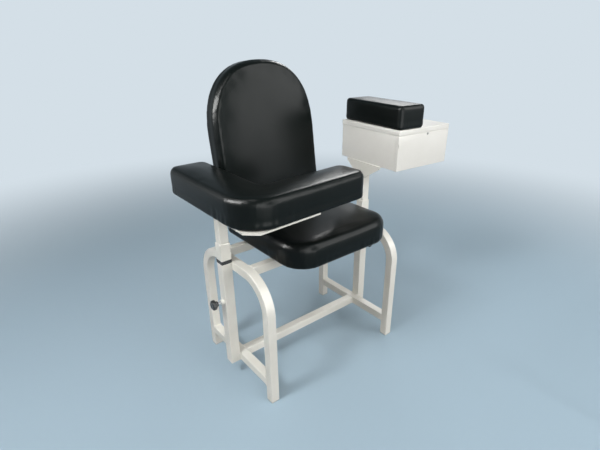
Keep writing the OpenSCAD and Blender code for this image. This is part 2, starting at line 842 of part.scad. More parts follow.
module box_bracket() {
  color("gainsboro") at_box() difference() {
    union() {
      translate([-post_tube / 2 - bracket_wall, -bracket_front, bracket_top])
        cube([bracket_reach + post_tube / 2 + bracket_wall, bracket_front + bracket_rear, bracket_wall]);
      translate([-post_tube / 2 - bracket_wall, 0, 0]) rotate([90, 0, 90])
        linear_extrude(bracket_wall) polygon(bracket_side);
    }
    for (p = bracket_screw_places) translate([p[0], p[1], bracket_top - over])
      cylinder(h = bracket_wall + 2 * over, d = screw + 2 * hole_gap);
    translate([0, 0, head_low - gap]) linear_extrude(sleeve_length + 2 * gap)
      square(mast_tube + 2 * gap, center = true);
  }
}

module bracket_screws() {
  color("slategray") at_box() for (p = bracket_screw_places) translate([p[0], p[1], bracket_top])
    headed(screw, screw_head, screw_head_tall, bracket_wall + sheet + tray_gap / 2);
}

// Case: floor, two sides, rear and a narrow header over the drawer's mouth
module drawer_case() {
  color("white") at_box() difference() {
    translate([case_in, case_front, box_height])
      cube([case_out - case_in, case_rear - case_front, case_top - box_height]);
    translate([case_in + sheet, header_rear, box_height + sheet])
      cube([case_out - case_in - 2 * sheet, case_rear - header_rear - sheet, box_tall]);
    translate([case_in + sheet, case_front - over, box_height + sheet])
      cube([case_out - case_in - 2 * sheet, 2 * over + sheet, header_low - box_height - sheet]);
    for (p = bracket_screw_places) translate([p[0], p[1], box_height - over])
      cylinder(h = sheet + 2 * over, d = screw + 2 * fit);
  }
}

module case_lid() {
  color("whitesmoke") at_box() difference() {
    translate([box_in, -box_front, rim_low]) cube([box_width, box_depth, lid_rim]);
    translate([box_in + sheet, sheet - box_front, rim_low - over])
      cube([box_width - 2 * sheet, box_depth - 2 * sheet, lid_rim - sheet + over]);
    for (p = box_pad_screw_places) translate([p[0], p[1], pad_low - 2 * sheet])
      cylinder(h = sheet + 2 * over, d = screw + 2 * hole_gap);
  }
}

// Fixed runners: channels on the case's two sides, open towards the tray
runner_front = header_rear + over;
runner_length = case_rear - sheet - runner_front;

module runner_channel(wide, tall, length) {
  difference() {
    translate([0, 0, -tall / 2]) cube([wide, length, tall]);
    translate([runner_wall, -over, runner_wall - tall / 2])
      cube([wide, length + 2 * over, tall - 2 * runner_wall]);
  }
}

module case_runners() {
  color("slategray") at_box() {
    translate([case_in + sheet, runner_front, runner_mid])
      runner_channel(runner_wide - gap, runner_tall, runner_length);
    translate([case_out - sheet, runner_front, runner_mid]) mirror([1, 0, 0])
      runner_channel(runner_wide - gap, runner_tall, runner_length);
  }
}

// Moving runners: narrower channels on the tray's sides, inside the fixed ones
slide_tall = runner_tall - 2 * runner_wall - 2 * gap;
slide_wide = runner_wide - runner_wall - gap;

module drawer_runners() {
  color("lightslategray") at_box() {
    translate([tray_in, runner_front, runner_mid]) mirror([1, 0, 0])
      runner_channel(slide_wide, slide_tall, runner_length - over);
    translate([tray_out, runner_front, runner_mid])
      runner_channel(slide_wide, slide_tall, runner_length - over);
  }
}

// Pad on top of the box, turned a little around its corner at the front of the post's side
pad_pivot = [box_in, -box_front];
function turned(p) = let(d = p - pad_pivot, c = cos(box_pad_turn), s = sin(box_pad_turn))
  pad_pivot + [c * d[0] + s * d[1], c * d[1] - s * d[0]];
box_pad_outline = [for (p = [
  [box_in, -box_front], [box_in + box_pad_width, -box_front],
  [box_in + box_pad_width, box_rear], [box_in, box_rear]]) turned(p)];
box_pad_radii = [box_pad_corner, box_pad_corner, box_pad_corner, box_pad_corner];
box_pad_mid = turned([box_in + box_pad_width / 2, (box_rear - box_front) / 2]);
box_pad_screw_places = [for (x = [-1, 1], y = [-1, 1])
  box_pad_mid + [x * box_pad_width, y * box_depth] * screw_share];

module box_pad_board() {
  color("burlywood") at_box() difference() {
    translate([0, 0, pad_low]) pad_board(box_pad_outline, box_pad_radii, low_round);
    for (p = box_pad_screw_places) translate([p[0], p[1], pad_low - over])
      cylinder(h = board + over - gap, d = screw + 2 * fit);
  }
}

module box_pad() {
  color("darkslategray") at_box() translate([0, 0, pad_low])
    pad(box_pad_outline, box_pad_radii, box_pad_side, box_pad_crown, box_pad_round, low_round, box_pad_mid);
}

module box_pad_screws() {
  color("slategray") at_box() for (p = box_pad_screw_places) translate([p[0], p[1], pad_low - sheet])
    headed(screw, screw_head, screw_head_tall, sheet + board - 2 * gap);
}

// Drawer
module drawer_front() {
  color("gainsboro") at_box() difference() {
    translate([box_in, -box_front, box_height]) cube([box_width, front_fold, front_top - box_height]);
    translate([box_in + sheet, sheet - box_front, box_height + sheet])
      cube([box_width - 2 * sheet, front_fold, front_top - box_height - 2 * sheet]);
    translate([lock_x, -box_front - over, lock_z]) rotate([-90, 0, 0])
      cylinder(h = sheet + 2 * over, d = lock_barrel_diameter + 2 * running);
    for (p = drawer_screw_places) translate([p[0], -box_front + sheet / 3, p[1]]) rotate([-90, 0, 0])
      cylinder(h = sheet, d = screw + 2 * fit);
    translate([box_in - over, -box_front - over, front_top - corner_slot_drop - corner_slot])
      cube([corner_slot_wide + over, corner_slot_wide + over, corner_slot]);
  }
}

module drawer_tray() {
  color("silver") at_box() difference() {
    translate([tray_in, tray_front, tray_low]) cube([tray_out - tray_in, tray_length, tray_tall]);
    translate([tray_in + sheet, tray_front + sheet, tray_low + sheet])
      cube([tray_out - tray_in - 2 * sheet, tray_length - 2 * sheet, tray_tall]);
    for (p = drawer_screw_places) translate([p[0], tray_front - over, p[1]]) rotate([-90, 0, 0])
      cylinder(h = sheet + 2 * over, d = screw + 2 * hole_gap);
  }
}

// Screws that hold the tray to the drawer front, from inside the tray
drawer_screw_places = [for (x = [-1, 1], z = [-1, 1])
  [tray_mid + x * (tray_out - tray_in) * screw_share,
    tray_low + tray_tall / 2 + z * tray_tall * screw_share]];

module drawer_screws() {
  color("slategray") at_box() for (p = drawer_screw_places)
    translate([p[0], tray_front + sheet, p[1]]) rotate([90, 0, 0])
      headed(screw, screw_head, screw_head_tall, 4 / 3 * sheet);
}

// Lock: the barrel turns in the drawer front and its cam swings behind the header
cam_front = header_rear + gap;

module lock_barrel() {
  color("black") at_box() difference() {
    union() {
      translate([lock_x, -box_front, lock_z]) rotate([90, 0, 0]) cylinder(h = sheet, d = lock_face);
      translate([lock_x, -box_front - sheet / 2, lock_z]) rotate([-90, 0, 0])
        cylinder(h = cam_front + box_front + sheet / 2, d = lock_barrel_diameter);
    }
    translate([lock_x - sheet / 2, -box_front - sheet - over, lock_z - lock_face / 4])
      cube([sheet, sheet + over, lock_face / 2]);
  }
}

module lock_cam() {
  color("slategray") at_box() translate([lock_x, cam_front, lock_z]) rotate([-90, 0, 0])
    linear_extrude(cam_thick) {
      circle(d = cam_width);
      translate([0, -cam_width / 2]) square([cam_length - cam_width / 2, cam_width]);
    }
}

// Knobs on the outboard face of each mast
module knob() {
  difference() {
    translate([hub_end, 0, knob_height]) rotate([0, 90, 0]) {
      cylinder(h = knob_hub_length + over, d = knob_hub);
      translate([0, 0, knob_hub_length]) linear_extrude(knob_thick) {
        circle(d = knob_diameter * knob_core_share);
        for (i = [1:knob_lobes]) rotate(360 * i / knob_lobes)
          translate([knob_diameter / 2 * (1 - knob_lobe_share), 0])
            circle(d = knob_diameter * knob_lobe_share);
      }
    }
    translate([hub_end - over, 0, knob_height]) rotate([0, 90, 0])
      cylinder(h = stud_depth + over, d = stud_diameter + 2 * running);
  }
}

// Shares of the knob's diameter for its core and its lobes
knob_core_share = 0.82;
knob_lobe_share = 0.3;

module left_knob() {
  color("darkslategray") mirror([1, 0, 0]) knob();
}

module right_knob() {
  color("darkslategray") knob();
}

module knob_stud() {
  translate([stud_tip, 0, knob_height]) rotate([0, 90, 0])
    cylinder(h = hub_end + stud_depth - stud_tip, d = stud_diameter);
}

module left_knob_stud() {
  color("lightslategray") mirror([1, 0, 0]) knob_stud();
}

module right_knob_stud() {
  color("lightslategray") knob_stud();
}

left_hoop();
right_hoop();
left_side_rail();
right_side_rail();
stretcher();
front_seat_rail();
rear_seat_rail();
left_mast_tube();
right_mast_tube();
foot_caps();
left_collar_bush();
right_collar_bush();
left_clamp_boss();
right_clamp_boss();
seat_board();
seat_cushion();
seat_bolts();
left_back_upright();
right_back_upright();
back_board();
back_cushion();
back_bolts();
left_lift_shaft();
left_swivel_bush();
left_head_sleeve();
arm_post();
arm_plate();
arm_board();
arm_pad();
arm_screws();
right_lift_shaft();
right_swivel_bush();
right_head_sleeve();
box_post();
box_bracket();
bracket_screws();
drawer_case();
case_lid();
case_runners();
box_pad_board();
box_pad();
box_pad_screws();
drawer_front();
drawer_tray();
drawer_screws();
drawer_runners();
lock_barrel();
lock_cam();
left_knob();
left_knob_stud();
right_knob();
right_knob_stud();
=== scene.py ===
"""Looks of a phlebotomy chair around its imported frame: vinyl padding, powder-coated tube and sheet.
All lengths are in metres. The chair faces -Y, +X is on the drawer box's side and +Z is up."""
import math

import bmesh
import bpy
import numpy as np
from mathutils import Matrix, Vector


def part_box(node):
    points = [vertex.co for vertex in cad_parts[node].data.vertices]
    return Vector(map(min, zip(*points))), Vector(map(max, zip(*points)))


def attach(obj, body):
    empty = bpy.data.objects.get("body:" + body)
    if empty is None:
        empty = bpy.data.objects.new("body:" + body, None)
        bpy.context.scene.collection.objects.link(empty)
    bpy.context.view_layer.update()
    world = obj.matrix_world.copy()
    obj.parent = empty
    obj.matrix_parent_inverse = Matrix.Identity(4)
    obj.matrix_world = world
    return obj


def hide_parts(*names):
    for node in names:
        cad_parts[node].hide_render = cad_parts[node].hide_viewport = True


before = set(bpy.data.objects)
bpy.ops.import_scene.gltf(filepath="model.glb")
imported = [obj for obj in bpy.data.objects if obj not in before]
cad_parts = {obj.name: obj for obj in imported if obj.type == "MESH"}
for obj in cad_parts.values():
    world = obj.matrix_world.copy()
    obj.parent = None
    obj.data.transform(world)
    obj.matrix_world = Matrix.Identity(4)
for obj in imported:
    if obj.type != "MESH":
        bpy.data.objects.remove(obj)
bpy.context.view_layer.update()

MM = 0.001
PHOTO_WIDTH = 600

# Frame facts that several pieces share
BOX_TURN = math.radians(-4.3)      # turn of the drawer box about its mast
BACK_LEAN = math.radians(8.2)      # lean of the back from upright
MAST_X = (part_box("right_mast_tube")[0].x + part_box("right_mast_tube")[1].x) / 2
BOX_FRAME = Matrix.Translation((MAST_X, 0, 0)) @ Matrix.Rotation(BOX_TURN, 4, "Z")
UP = Vector((0, 0, 1))
BACK_OUT = Vector((0, -math.cos(BACK_LEAN), math.sin(BACK_LEAN)))   # out of the back cushion's front


# Small helpers

def linear(code):
    """An sRGB hex colour as linear red, green, blue and alpha."""
    parts = [int(code[i:i + 2], 16) / 255 for i in (1, 3, 5)]
    return tuple(c / 12.92 if c <= 0.04045 else ((c + 0.055) / 1.055) ** 2.4 for c in parts) + (1.0,)


def add(tree, kind, inputs=None, **settings):
    """Adds a node with its settings. An input given as a socket is linked, any other is its value."""
    node = tree.nodes.new(kind)
    for name, value in settings.items():
        setattr(node, name, value)
    for name, value in (inputs or {}).items():
        if isinstance(value, bpy.types.NodeSocket):
            tree.links.new(value, node.inputs[name])
        else:
            node.inputs[name].default_value = value
    return node


def material(name, **constants):
    """An empty material with a Principled shader, whose constants are set on its own sockets."""
    made = bpy.data.materials.new(name)
    made.use_nodes = True
    made.node_tree.nodes.clear()
    shader = add(made.node_tree, "ShaderNodeBsdfPrincipled",
                 {key.replace("_", " "): value for key, value in constants.items()})
    add(made.node_tree, "ShaderNodeOutputMaterial", {"Surface": shader.outputs[0]})
    made.diffuse_color = (0.5, 0.5, 0.5, 1)
    return made, made.node_tree, shader


def dress(obj, finish):
    """Gives an object one material."""
    obj.data.materials.clear()
    obj.data.materials.append(finish)


def hand_over(piece, body, finish, slot, *nodes):
    """Dresses a finished piece, hangs it under its body's empty and hides the CAD nodes that it stands for. The
    slot is not used.
    """
    dress(piece, finish)
    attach(piece, body)
    if nodes:
        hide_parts(*nodes)
    return piece


def box_between(lo, hi):
    """A closed box between two corners."""
    bm = bmesh.new()
    lo, hi = Vector(lo), Vector(hi)
    bmesh.ops.create_cube(bm, size=1, matrix=Matrix.Translation((lo + hi) / 2)
                          @ Matrix.Diagonal((*(hi - lo), 1)))
    return bm


def carve(piece, tool):
    """Takes the shape of one object out of another, and deletes it."""
    less = piece.modifiers.new("cut", "BOOLEAN")
    less.operation = "DIFFERENCE"
    less.solver = "EXACT"
    less.object = tool
    bake(piece)
    bpy.data.objects.remove(tool)


def new_object(name, mesh):
    made = bpy.data.objects.new(name, mesh)
    bpy.context.scene.collection.objects.link(made)
    return made


def from_bmesh(name, bm):
    mesh = bpy.data.meshes.new(name)
    bm.normal_update()
    bm.to_mesh(mesh)
    bm.free()
    return new_object(name, mesh)


def bake(obj):
    """Turns an object with modifiers into a plain mesh."""
    graph = bpy.context.evaluated_depsgraph_get()
    graph.update()
    mesh = bpy.data.meshes.new_from_object(obj.evaluated_get(graph))
    old = obj.data
    obj.modifiers.clear()
    obj.data = mesh
    if old.users == 0 and isinstance(old, bpy.types.Mesh):
        bpy.data.meshes.remove(old)
    return obj


def smooth(obj, angle=30):
    """Smooth shading, with edges sharper than the angle kept crisp."""
    mesh = obj.data
    bm = bmesh.new()
    bm.from_mesh(mesh)
    limit = math.radians(angle)
    for face in bm.faces:
        face.smooth = True
    for edge in bm.edges:
        edge.smooth = len(edge.link_faces) == 2 and edge.calc_face_angle(0) < limit
    bm.to_mesh(mesh)
    bm.free()
    return obj


def merged_copy(name, node):
    """A copy of a CAD node's mesh with its loose triangles joined."""
    bm = bmesh.new()
    bm.from_mesh(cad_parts[node].data)
    bmesh.ops.remove_doubles(bm, verts=bm.verts, dist=0.01 * MM)
    bmesh.ops.dissolve_degenerate(bm, edges=bm.edges, dist=0.001 * MM)
    return from_bmesh(name, bm)


def points_of(obj):
    """The vertices of an object's mesh as an array."""
    co = np.empty(len(obj.data.vertices) * 3)
    obj.data.vertices.foreach_get("co", co)
    return co.reshape(-1, 3)


def normals_of(obj):
    co = np.empty(len(obj.data.vertices) * 3)
    obj.data.vertices.foreach_get("normal", co)
    return co.reshape(-1, 3)


def set_points(obj, co):
    obj.data.vertices.foreach_set("co", co.ravel())
    obj.data.update()


def ramp(values, low, high):
    """Smooth step from 0 at low to 1 at high."""
    t = np.clip((values - low) / (high - low), 0, 1)
    return t * t * (3 - 2 * t)


def solids_of(node):
    """The vertices of each separate solid of a CAD node."""
    bm = bmesh.new()
    bm.from_mesh(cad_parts[node].data)
    bmesh.ops.remove_doubles(bm, verts=bm.verts, dist=0.01 * MM)
    bm.verts.ensure_lookup_table()
    seen, groups = set(), []
    for start in bm.verts:
        if start.index in seen:
            continue
        seen.add(start.index)
        stack, group = [start], []
        while stack:
            vert = stack.pop()
            group.append(vert.co.copy())
            for edge in vert.link_edges:
                other = edge.other_vert(vert)
                if other.index not in seen:
                    seen.add(other.index)
                    stack.append(other)
        groups.append(np.array(group))
    bm.free()
    return groups


# Materials

def pvc_upholstery():
    """PVC-coated fabric with an embossed leather grain: near black, with a gloss that lifts at low angles."""
    made, tree, shader = material("pvc_upholstery", Roughness=0.25, IOR=1.5, Specular_IOR_Level=0.12)
    at = add(tree, "ShaderNodeTexCoord").outputs["Object"]
    tone = add(tree, "ShaderNodeTexNoise", {"Vector": at, "Scale": 9.0, "Detail": 2.0})
    black = add(tree, "ShaderNodeMixRGB", {0: tone.outputs[0], 1: linear("#080d0c"), 2: linear("#0e1312")})
    tree.links.new(black.outputs[0], shader.inputs["Base Color"])
    # The embossed grain is about 1.6 mm across
    grain = add(tree, "ShaderNodeTexVoronoi", {"Vector": at, "Scale": 1 / (1.6 * MM)},
                feature="DISTANCE_TO_EDGE")
    pore = add(tree, "ShaderNodeTexNoise", {"Vector": at, "Scale": 1 / (0.7 * MM), "Detail": 3.0})
    height = add(tree, "ShaderNodeMath", {0: grain.outputs[0], 1: pore.outputs[0]}, operation="MULTIPLY")
    bump = add(tree, "ShaderNodeBump", {"Strength": 0.35, "Distance": 0.12 * MM, "Height": height.outputs[0]})
    tree.links.new(bump.outputs[0], shader.inputs["Normal"])
    worn = add(tree, "ShaderNodeTexNoise", {"Vector": at, "Scale": 22.0, "Detail": 3.0})
    gloss = add(tree, "ShaderNodeMapRange", {"Value": worn.outputs[0], "To Min": 0.26, "To Max": 0.32})
    tree.links.new(gloss.outputs[0], shader.inputs["Roughness"])
    return made


def powder_coat(name, base, shade, roughness):
    """Powder coat baked on steel: off-white, glossy, with a faint orange peel and dust-grey tone changes."""
    made, tree, shader = material(name, Roughness=roughness, IOR=1.5)
    at = add(tree, "ShaderNodeTexCoord").outputs["Object"]
    tone = add(tree, "ShaderNodeTexNoise", {"Vector": at, "Scale": 6.0, "Detail": 4.0, "Roughness": 0.6})
    share = add(tree, "ShaderNodeMapRange", {"Value": tone.outputs[0], "From Min": 0.35, "From Max": 0.75})
    coat = add(tree, "ShaderNodeMixRGB", {0: share.outputs[0], 1: linear(base), 2: linear(shade)})
    tree.links.new(coat.outputs[0], shader.inputs["Base Color"])
    # Orange peel has waves of about 3 mm, drawn at its real size
    peel = add(tree, "ShaderNodeTexNoise", {"Vector": at, "Scale": 1 / (3 * MM), "Detail": 1.5})
    bump = add(tree, "ShaderNodeBump", {"Strength": 0.25, "Distance": 0.06 * MM, "Height": peel.outputs[0]})
    tree.links.new(bump.outputs[0], shader.inputs["Normal"])
    return made


def birch_plywood():
    """Sanded birch plywood: pale yellow brown, with long grain lines and small dark flecks."""
    made, tree, shader = material("birch_plywood", Roughness=0.7, IOR=1.5)
    at = add(tree, "ShaderNodeTexCoord").outputs["Object"]
    # Grain runs along X, with lines about 4 mm apart
    drawn = add(tree, "ShaderNodeMapping", {"Vector": at, "Scale": (0.08, 1.0, 1.0)})
    figure = add(tree, "ShaderNodeTexNoise",
                 {"Vector": drawn.outputs[0], "Scale": 1 / (12 * MM), "Detail": 5.0, "Distortion": 1.2})
    lines = add(tree, "ShaderNodeTexNoise",
                {"Vector": drawn.outputs[0], "Scale": 1 / (1.8 * MM), "Detail": 2.0})
    share = add(tree, "ShaderNodeMath", {0: figure.outputs[0], 1: lines.outputs[0]}, operation="MULTIPLY")
    wood = add(tree, "ShaderNodeMixRGB", {0: share.outputs[0], 1: linear("#cfae7c"), 2: linear("#9c7446")})
    tree.links.new(wood.outputs[0], shader.inputs["Base Color"])
    bump = add(tree, "ShaderNodeBump", {"Strength": 0.3, "Distance": 0.2 * MM, "Height": lines.outputs[0]})
    tree.links.new(bump.outputs[0], shader.inputs["Normal"])
    return made


def moulded(name, base, shade, roughness, grain):
    """Moulded plastic with a spark-eroded skin: an even colour with a dull, slightly grainy gloss."""
    made, tree, shader = material(name, Roughness=roughness, IOR=1.5)
    at = add(tree, "ShaderNodeTexCoord").outputs["Object"]
    tone = add(tree, "ShaderNodeTexNoise", {"Vector": at, "Scale": 40.0, "Detail": 2.0})
    plastic = add(tree, "ShaderNodeMixRGB", {0: tone.outputs[0], 1: linear(base), 2: linear(shade)})
    tree.links.new(plastic.outputs[0], shader.inputs["Base Color"])
    skin = add(tree, "ShaderNodeTexNoise", {"Vector": at, "Scale": 1 / grain, "Detail": 2.0})
    bump = add(tree, "ShaderNodeBump", {"Strength": 0.3, "Distance": 0.05 * MM, "Height": skin.outputs[0]})
    tree.links.new(bump.outputs[0], shader.inputs["Normal"])
    return made


def bright_metal(name, base, shade, roughness, lines, stretch):
    """Steel with fine lines from its last working, such as grinding or rolling, that streak its gloss."""
    made, tree, shader = material(name, Roughness=roughness, Metallic=1.0)
    at = add(tree, "ShaderNodeTexCoord").outputs["Object"]
    drawn = add(tree, "ShaderNodeMapping", {"Vector": at, "Scale": stretch})
    marks = add(tree, "ShaderNodeTexNoise", {"Vector": drawn.outputs[0], "Scale": 1 / lines, "Detail": 3.0})
    metal = add(tree, "ShaderNodeMixRGB", {0: marks.outputs[0], 1: linear(base), 2: linear(shade)})
    tree.links.new(metal.outputs[0], shader.inputs["Base Color"])
    gloss = add(tree, "ShaderNodeMapRange",
                {"Value": marks.outputs[0], "To Min": roughness * 0.8, "To Max": roughness * 1.3})
    tree.links.new(gloss.outputs[0], shader.inputs["Roughness"])
    bump = add(tree, "ShaderNodeBump", {"Strength": 0.2, "Distance": 0.03 * MM, "Height": marks.outputs[0]})
    tree.links.new(bump.outputs[0], shader.inputs["Normal"])
    return made


VINYL = pvc_upholstery()
FRAME_COAT = powder_coat("powder_coat_frame", "#e7e6df", "#dedcd3", 0.3)
BOX_COAT = powder_coat("powder_coat_sheet", "#e3e2dd", "#dcdbd5", 0.36)
PLYWOOD = birch_plywood()
BLACK_NYLON = moulded("black_nylon", "#141617", "#1c1f20", 0.5, 0.9 * MM)
BLACK_PHENOLIC = moulded("black_phenolic", "#0d0f10", "#15181a", 0.3, 2.0 * MM)
PALE_POLYTHENE = moulded("pale_polythene", "#d2d0c6", "#c6c4ba", 0.45, 1.2 * MM)
ZINC = bright_metal("zinc_plated_steel", "#b4b7b8", "#9a9da0", 0.34, 1.5 * MM, (1, 1, 1))
GROUND_STEEL = bright_metal("ground_steel", "#c3c5c6", "#aeb1b3", 0.18, 0.8 * MM, (0.1, 0.1, 1))
ROLLED_STEEL = bright_metal("galvanised_runner", "#a9adaf", "#8f9396", 0.4, 3 * MM, (1, 0.1, 1))
LOCK_NICKEL = bright_metal("satin_nickel", "#a9aaa7", "#8f908e", 0.3, 1 * MM, (1, 1, 1))

NODE_FINISH = {
    "left_hoop": FRAME_COAT, "right_hoop": FRAME_COAT, "left_side_rail": FRAME_COAT,
    "right_side_rail": FRAME_COAT, "stretcher": FRAME_COAT, "front_seat_rail": FRAME_COAT,
    "rear_seat_rail": FRAME_COAT, "left_mast_tube": FRAME_COAT, "right_mast_tube": FRAME_COAT,
    "left_clamp_boss": FRAME_COAT, "right_clamp_boss": FRAME_COAT, "left_back_upright": FRAME_COAT,
    "right_back_upright": FRAME_COAT, "left_head_sleeve": FRAME_COAT, "right_head_sleeve": FRAME_COAT,
    "arm_post": FRAME_COAT, "box_post": FRAME_COAT, "arm_plate": FRAME_COAT, "box_bracket": FRAME_COAT,
    "drawer_case": BOX_COAT, "case_lid": BOX_COAT, "drawer_front": BOX_COAT, "drawer_tray": BOX_COAT,
    "seat_board": PLYWOOD, "back_board": PLYWOOD, "arm_board": PLYWOOD, "box_pad_board": PLYWOOD,
    "left_collar_bush": BLACK_NYLON, "right_collar_bush": BLACK_NYLON, "left_swivel_bush": BLACK_NYLON,
    "right_swivel_bush": BLACK_NYLON, "left_knob": BLACK_PHENOLIC, "right_knob": BLACK_PHENOLIC,
    "foot_caps": PALE_POLYTHENE, "case_runners": ROLLED_STEEL, "drawer_runners": ROLLED_STEEL,
    "left_knob_stud": ZINC, "right_knob_stud": ZINC, "lock_cam": ZINC, "lock_barrel": LOCK_NICKEL,
    "left_lift_shaft": GROUND_STEEL, "right_lift_shaft": GROUND_STEEL,
    "seat_cushion": VINYL, "back_cushion": VINYL, "arm_pad": VINYL, "box_pad": VINYL,
    "seat_bolts": ZINC, "back_bolts": ZINC, "arm_screws": ZINC, "bracket_screws": ZINC,
    "box_pad_screws": ZINC, "drawer_screws": ZINC,
}
for node_name, node_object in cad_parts.items():
    dress(node_object, NODE_FINISH[node_name])


# Padding

POCKET = 12 * MM           # depth of a CAD cushion's pocket, which holds its board
DOME = 1.5 * MM            # rise of a pad's top from its rounded edge to its middle


def remesh(obj, voxel):
    """An even skin of small quads over a closed shape."""
    skin = obj.modifiers.new("skin", "REMESH")
    skin.mode = "VOXEL"
    skin.voxel_size = voxel
    skin.use_smooth_shade = True
    return bake(obj)


def even_out(obj, field, rounds):
    """Averages a value on each vertex with its neighbours' values a number of times."""
    ends = np.empty(len(obj.data.edges) * 2, dtype=np.int32)
    obj.data.edges.foreach_get("vertices", ends)
    one, two = ends.reshape(-1, 2).T
    size = len(field)
    count = np.bincount(ends, minlength=size)[:, None]
    for number in range(rounds):
        total = np.stack([np.bincount(one, field[two, k], size) + np.bincount(two, field[one, k], size)
                          for k in range(3)], axis=1)
        field = (field + total / count) / 2
    return field


def inflate(obj, free, cap, pressure=4.0):
    """Lets the cover swell under pressure for 20 frames. free is each point's share of movement, 0 where it
    is held on the board, and no point moves further than the cap."""
    start = points_of(obj)
    held = obj.vertex_groups.new(name="held")
    for index, share in enumerate(free):
        held.add([index], float(1 - share), "REPLACE")
    cloth = obj.modifiers.new("cover", "CLOTH")
    settings = cloth.settings
    settings.quality = 7
    settings.mass = 0.25
    settings.tension_stiffness = 25
    settings.compression_stiffness = 25
    settings.shear_stiffness = 8
    settings.bending_stiffness = 20
    settings.use_pressure = True
    settings.uniform_pressure_force = pressure
    settings.vertex_group_mass = "held"
    settings.effector_weights.gravity = 0
    cloth.collision_settings.use_collision = False
    scene = bpy.context.scene
    cloth.point_cache.frame_start = 1
    cloth.point_cache.frame_end = 20
    for number in range(1, 21):
        scene.frame_set(number)
    graph = bpy.context.evaluated_depsgraph_get()
    swollen = bpy.data.meshes.new_from_object(obj.evaluated_get(graph))
    end = np.empty(len(swollen.vertices) * 3)
    swollen.vertices.foreach_get("co", end)
    bpy.data.meshes.remove(swollen)
    obj.modifiers.clear()
    obj.vertex_groups.clear()
    scene.frame_set(1)
    move = end.reshape(-1, 3) - start
    length = np.linalg.norm(move, axis=1, keepdims=True)
    move *= np.minimum(1, cap / np.maximum(length, 1e-9))
    # A taut cover: most of the fine folds are stretched out, and a trace of them stays
    set_points(obj, start + 0.95 * even_out(obj, move, 30) + 0.05 * move)


def ripple(co, size, seed):
    """Soft, even unevenness of foam: a sum of a few slanted waves about one size long."""
    out = np.zeros(len(co))
    for k in range(5):
        way = Vector((math.sin(seed + 2.1 * k), math.cos(1.7 * seed + 1.3 * k),
                      math.sin(0.6 * seed - 2.7 * k)))
        way = np.array(way.normalized()) * 2 * math.pi / (size * (0.8 + 0.17 * k))
        out += np.sin(co @ way + 1.9 * k + seed)
    return out / 5


def flat_top(pad, out, base, tall, rounding):
    """Gives a pad a nearly level top that ends in one even rounded edge all round."""
    co, nor = points_of(pad), normals_of(pad)
    height = co @ out - base
    facing = nor @ out
    flat = co - np.outer(co @ out, out)
    side = flat[(np.abs(facing) < 0.35) & (height > 0.25 * tall)]
    top = np.flatnonzero((facing > 0.25) & (height > tall - 2.2 * rounding))
    reach = np.array([np.linalg.norm(side - point, axis=1).min() for point in flat[top]])
    over = 1 - np.clip(reach / rounding, 0, 1)
    dome = DOME * (1 - ramp(reach, rounding, 6 * rounding))
    wanted = tall - dome - rounding * (1 - np.sqrt(1 - over ** 2))
    step = np.zeros((len(co), 3))
    step[top] = np.outer((wanted - height[top]) * ramp(reach, 0, 0.6 * rounding), out)
    set_points(pad, co + even_out(pad, step, 3))


def drawn_tight(pad, taut, out):
    """Draws a swollen cover's sides back to its taut shape, and leaves the swelling of its top."""
    co, nor = points_of(pad), normals_of(pad)
    hold = 0.9 - 0.55 * ramp(nor @ out, 0.2, 0.98)
    set_points(pad, co + even_out(pad, (taut - co) * hold[:, None], 12))


def cushion(name, node, body, out, voxel, cap, start_in, rounding, recess, corners, seed):
    """A foam pad under a stretched vinyl cover, in place of a CAD cushion. out points from its board to its
    top, start_in is how much smaller the cover starts, rounding is its upper edge's radius, recess is the depth
    to which the pocket of its underside is filled, and corners are its pleated corners."""
    pad = merged_copy(name, node)
    out = np.array(out)
    co = points_of(pad)
    height = co @ out
    base = height.min()
    flat_points = np.abs(height - base - POCKET) < 0.05 * MM
    # Closes the pocket for the board, apart from a shallow step round it
    co[flat_points] += np.outer(np.full(flat_points.sum(), recess - POCKET), out)
    set_points(pad, co)
    bm = bmesh.new()
    bm.from_mesh(pad.data)
    bmesh.ops.remove_doubles(bm, verts=bm.verts, dist=0.3 * MM)
    bmesh.ops.recalc_face_normals(bm, faces=bm.faces)
    bm.to_mesh(pad.data)
    bm.free()
    tall = height.max() - base
    remesh(pad, voxel)
    flat_top(pad, out, base, tall, rounding)
    taut, nor = points_of(pad), normals_of(pad)
    free = ramp(taut @ out - base, 8 * MM, 30 * MM)
    # The cover starts a little small, because it swells
    set_points(pad, taut - nor * (free * start_in)[:, None])
    inflate(pad, free, cap)
    drawn_tight(pad, taut, out)
    co, nor = points_of(pad), normals_of(pad)
    height = co @ out - base
    side = 1 - np.clip(np.abs(nor @ out), 0, 1)
    # Foam is a little uneven under its cover
    move = 0.35 * MM * ripple(co, 140 * MM, seed) * free
    # Pleats where the cover is gathered round each corner of the board
    for centre, radius, amount in corners:
        away = co - np.array(centre)
        away -= np.outer(away @ out, out)
        reach = np.linalg.norm(away, axis=1)
        one = np.array(Vector(out).orthogonal().normalized())
        two = np.cross(out, one)
        angle = np.arctan2(away @ two, away @ one)
        near = ramp(reach, 0.45 * radius, 0.9 * radius) * (1 - ramp(reach, 1.05 * radius, 1.6 * radius))
        low = 1 - ramp(height, 4 * MM, 0.55 * tall)
        move += amount * near * low * (0.5 * np.sin(17 * angle + seed) + 0.5 * np.sin(29 * angle)) * side
    co = co + nor * move[:, None]
    height = co @ out - base
    co -= np.outer(np.minimum(height - min(recess, 0), 0), out)
    set_points(pad, co)
    layer = pad.modifiers.new("layer", "SUBSURF")
    layer.levels = layer.render_levels = 1
    bake(pad)
    pad.data.polygons.foreach_set("use_smooth", [True] * len(pad.data.polygons))
    hand_over(pad, body, VINYL, "vinyl", node)


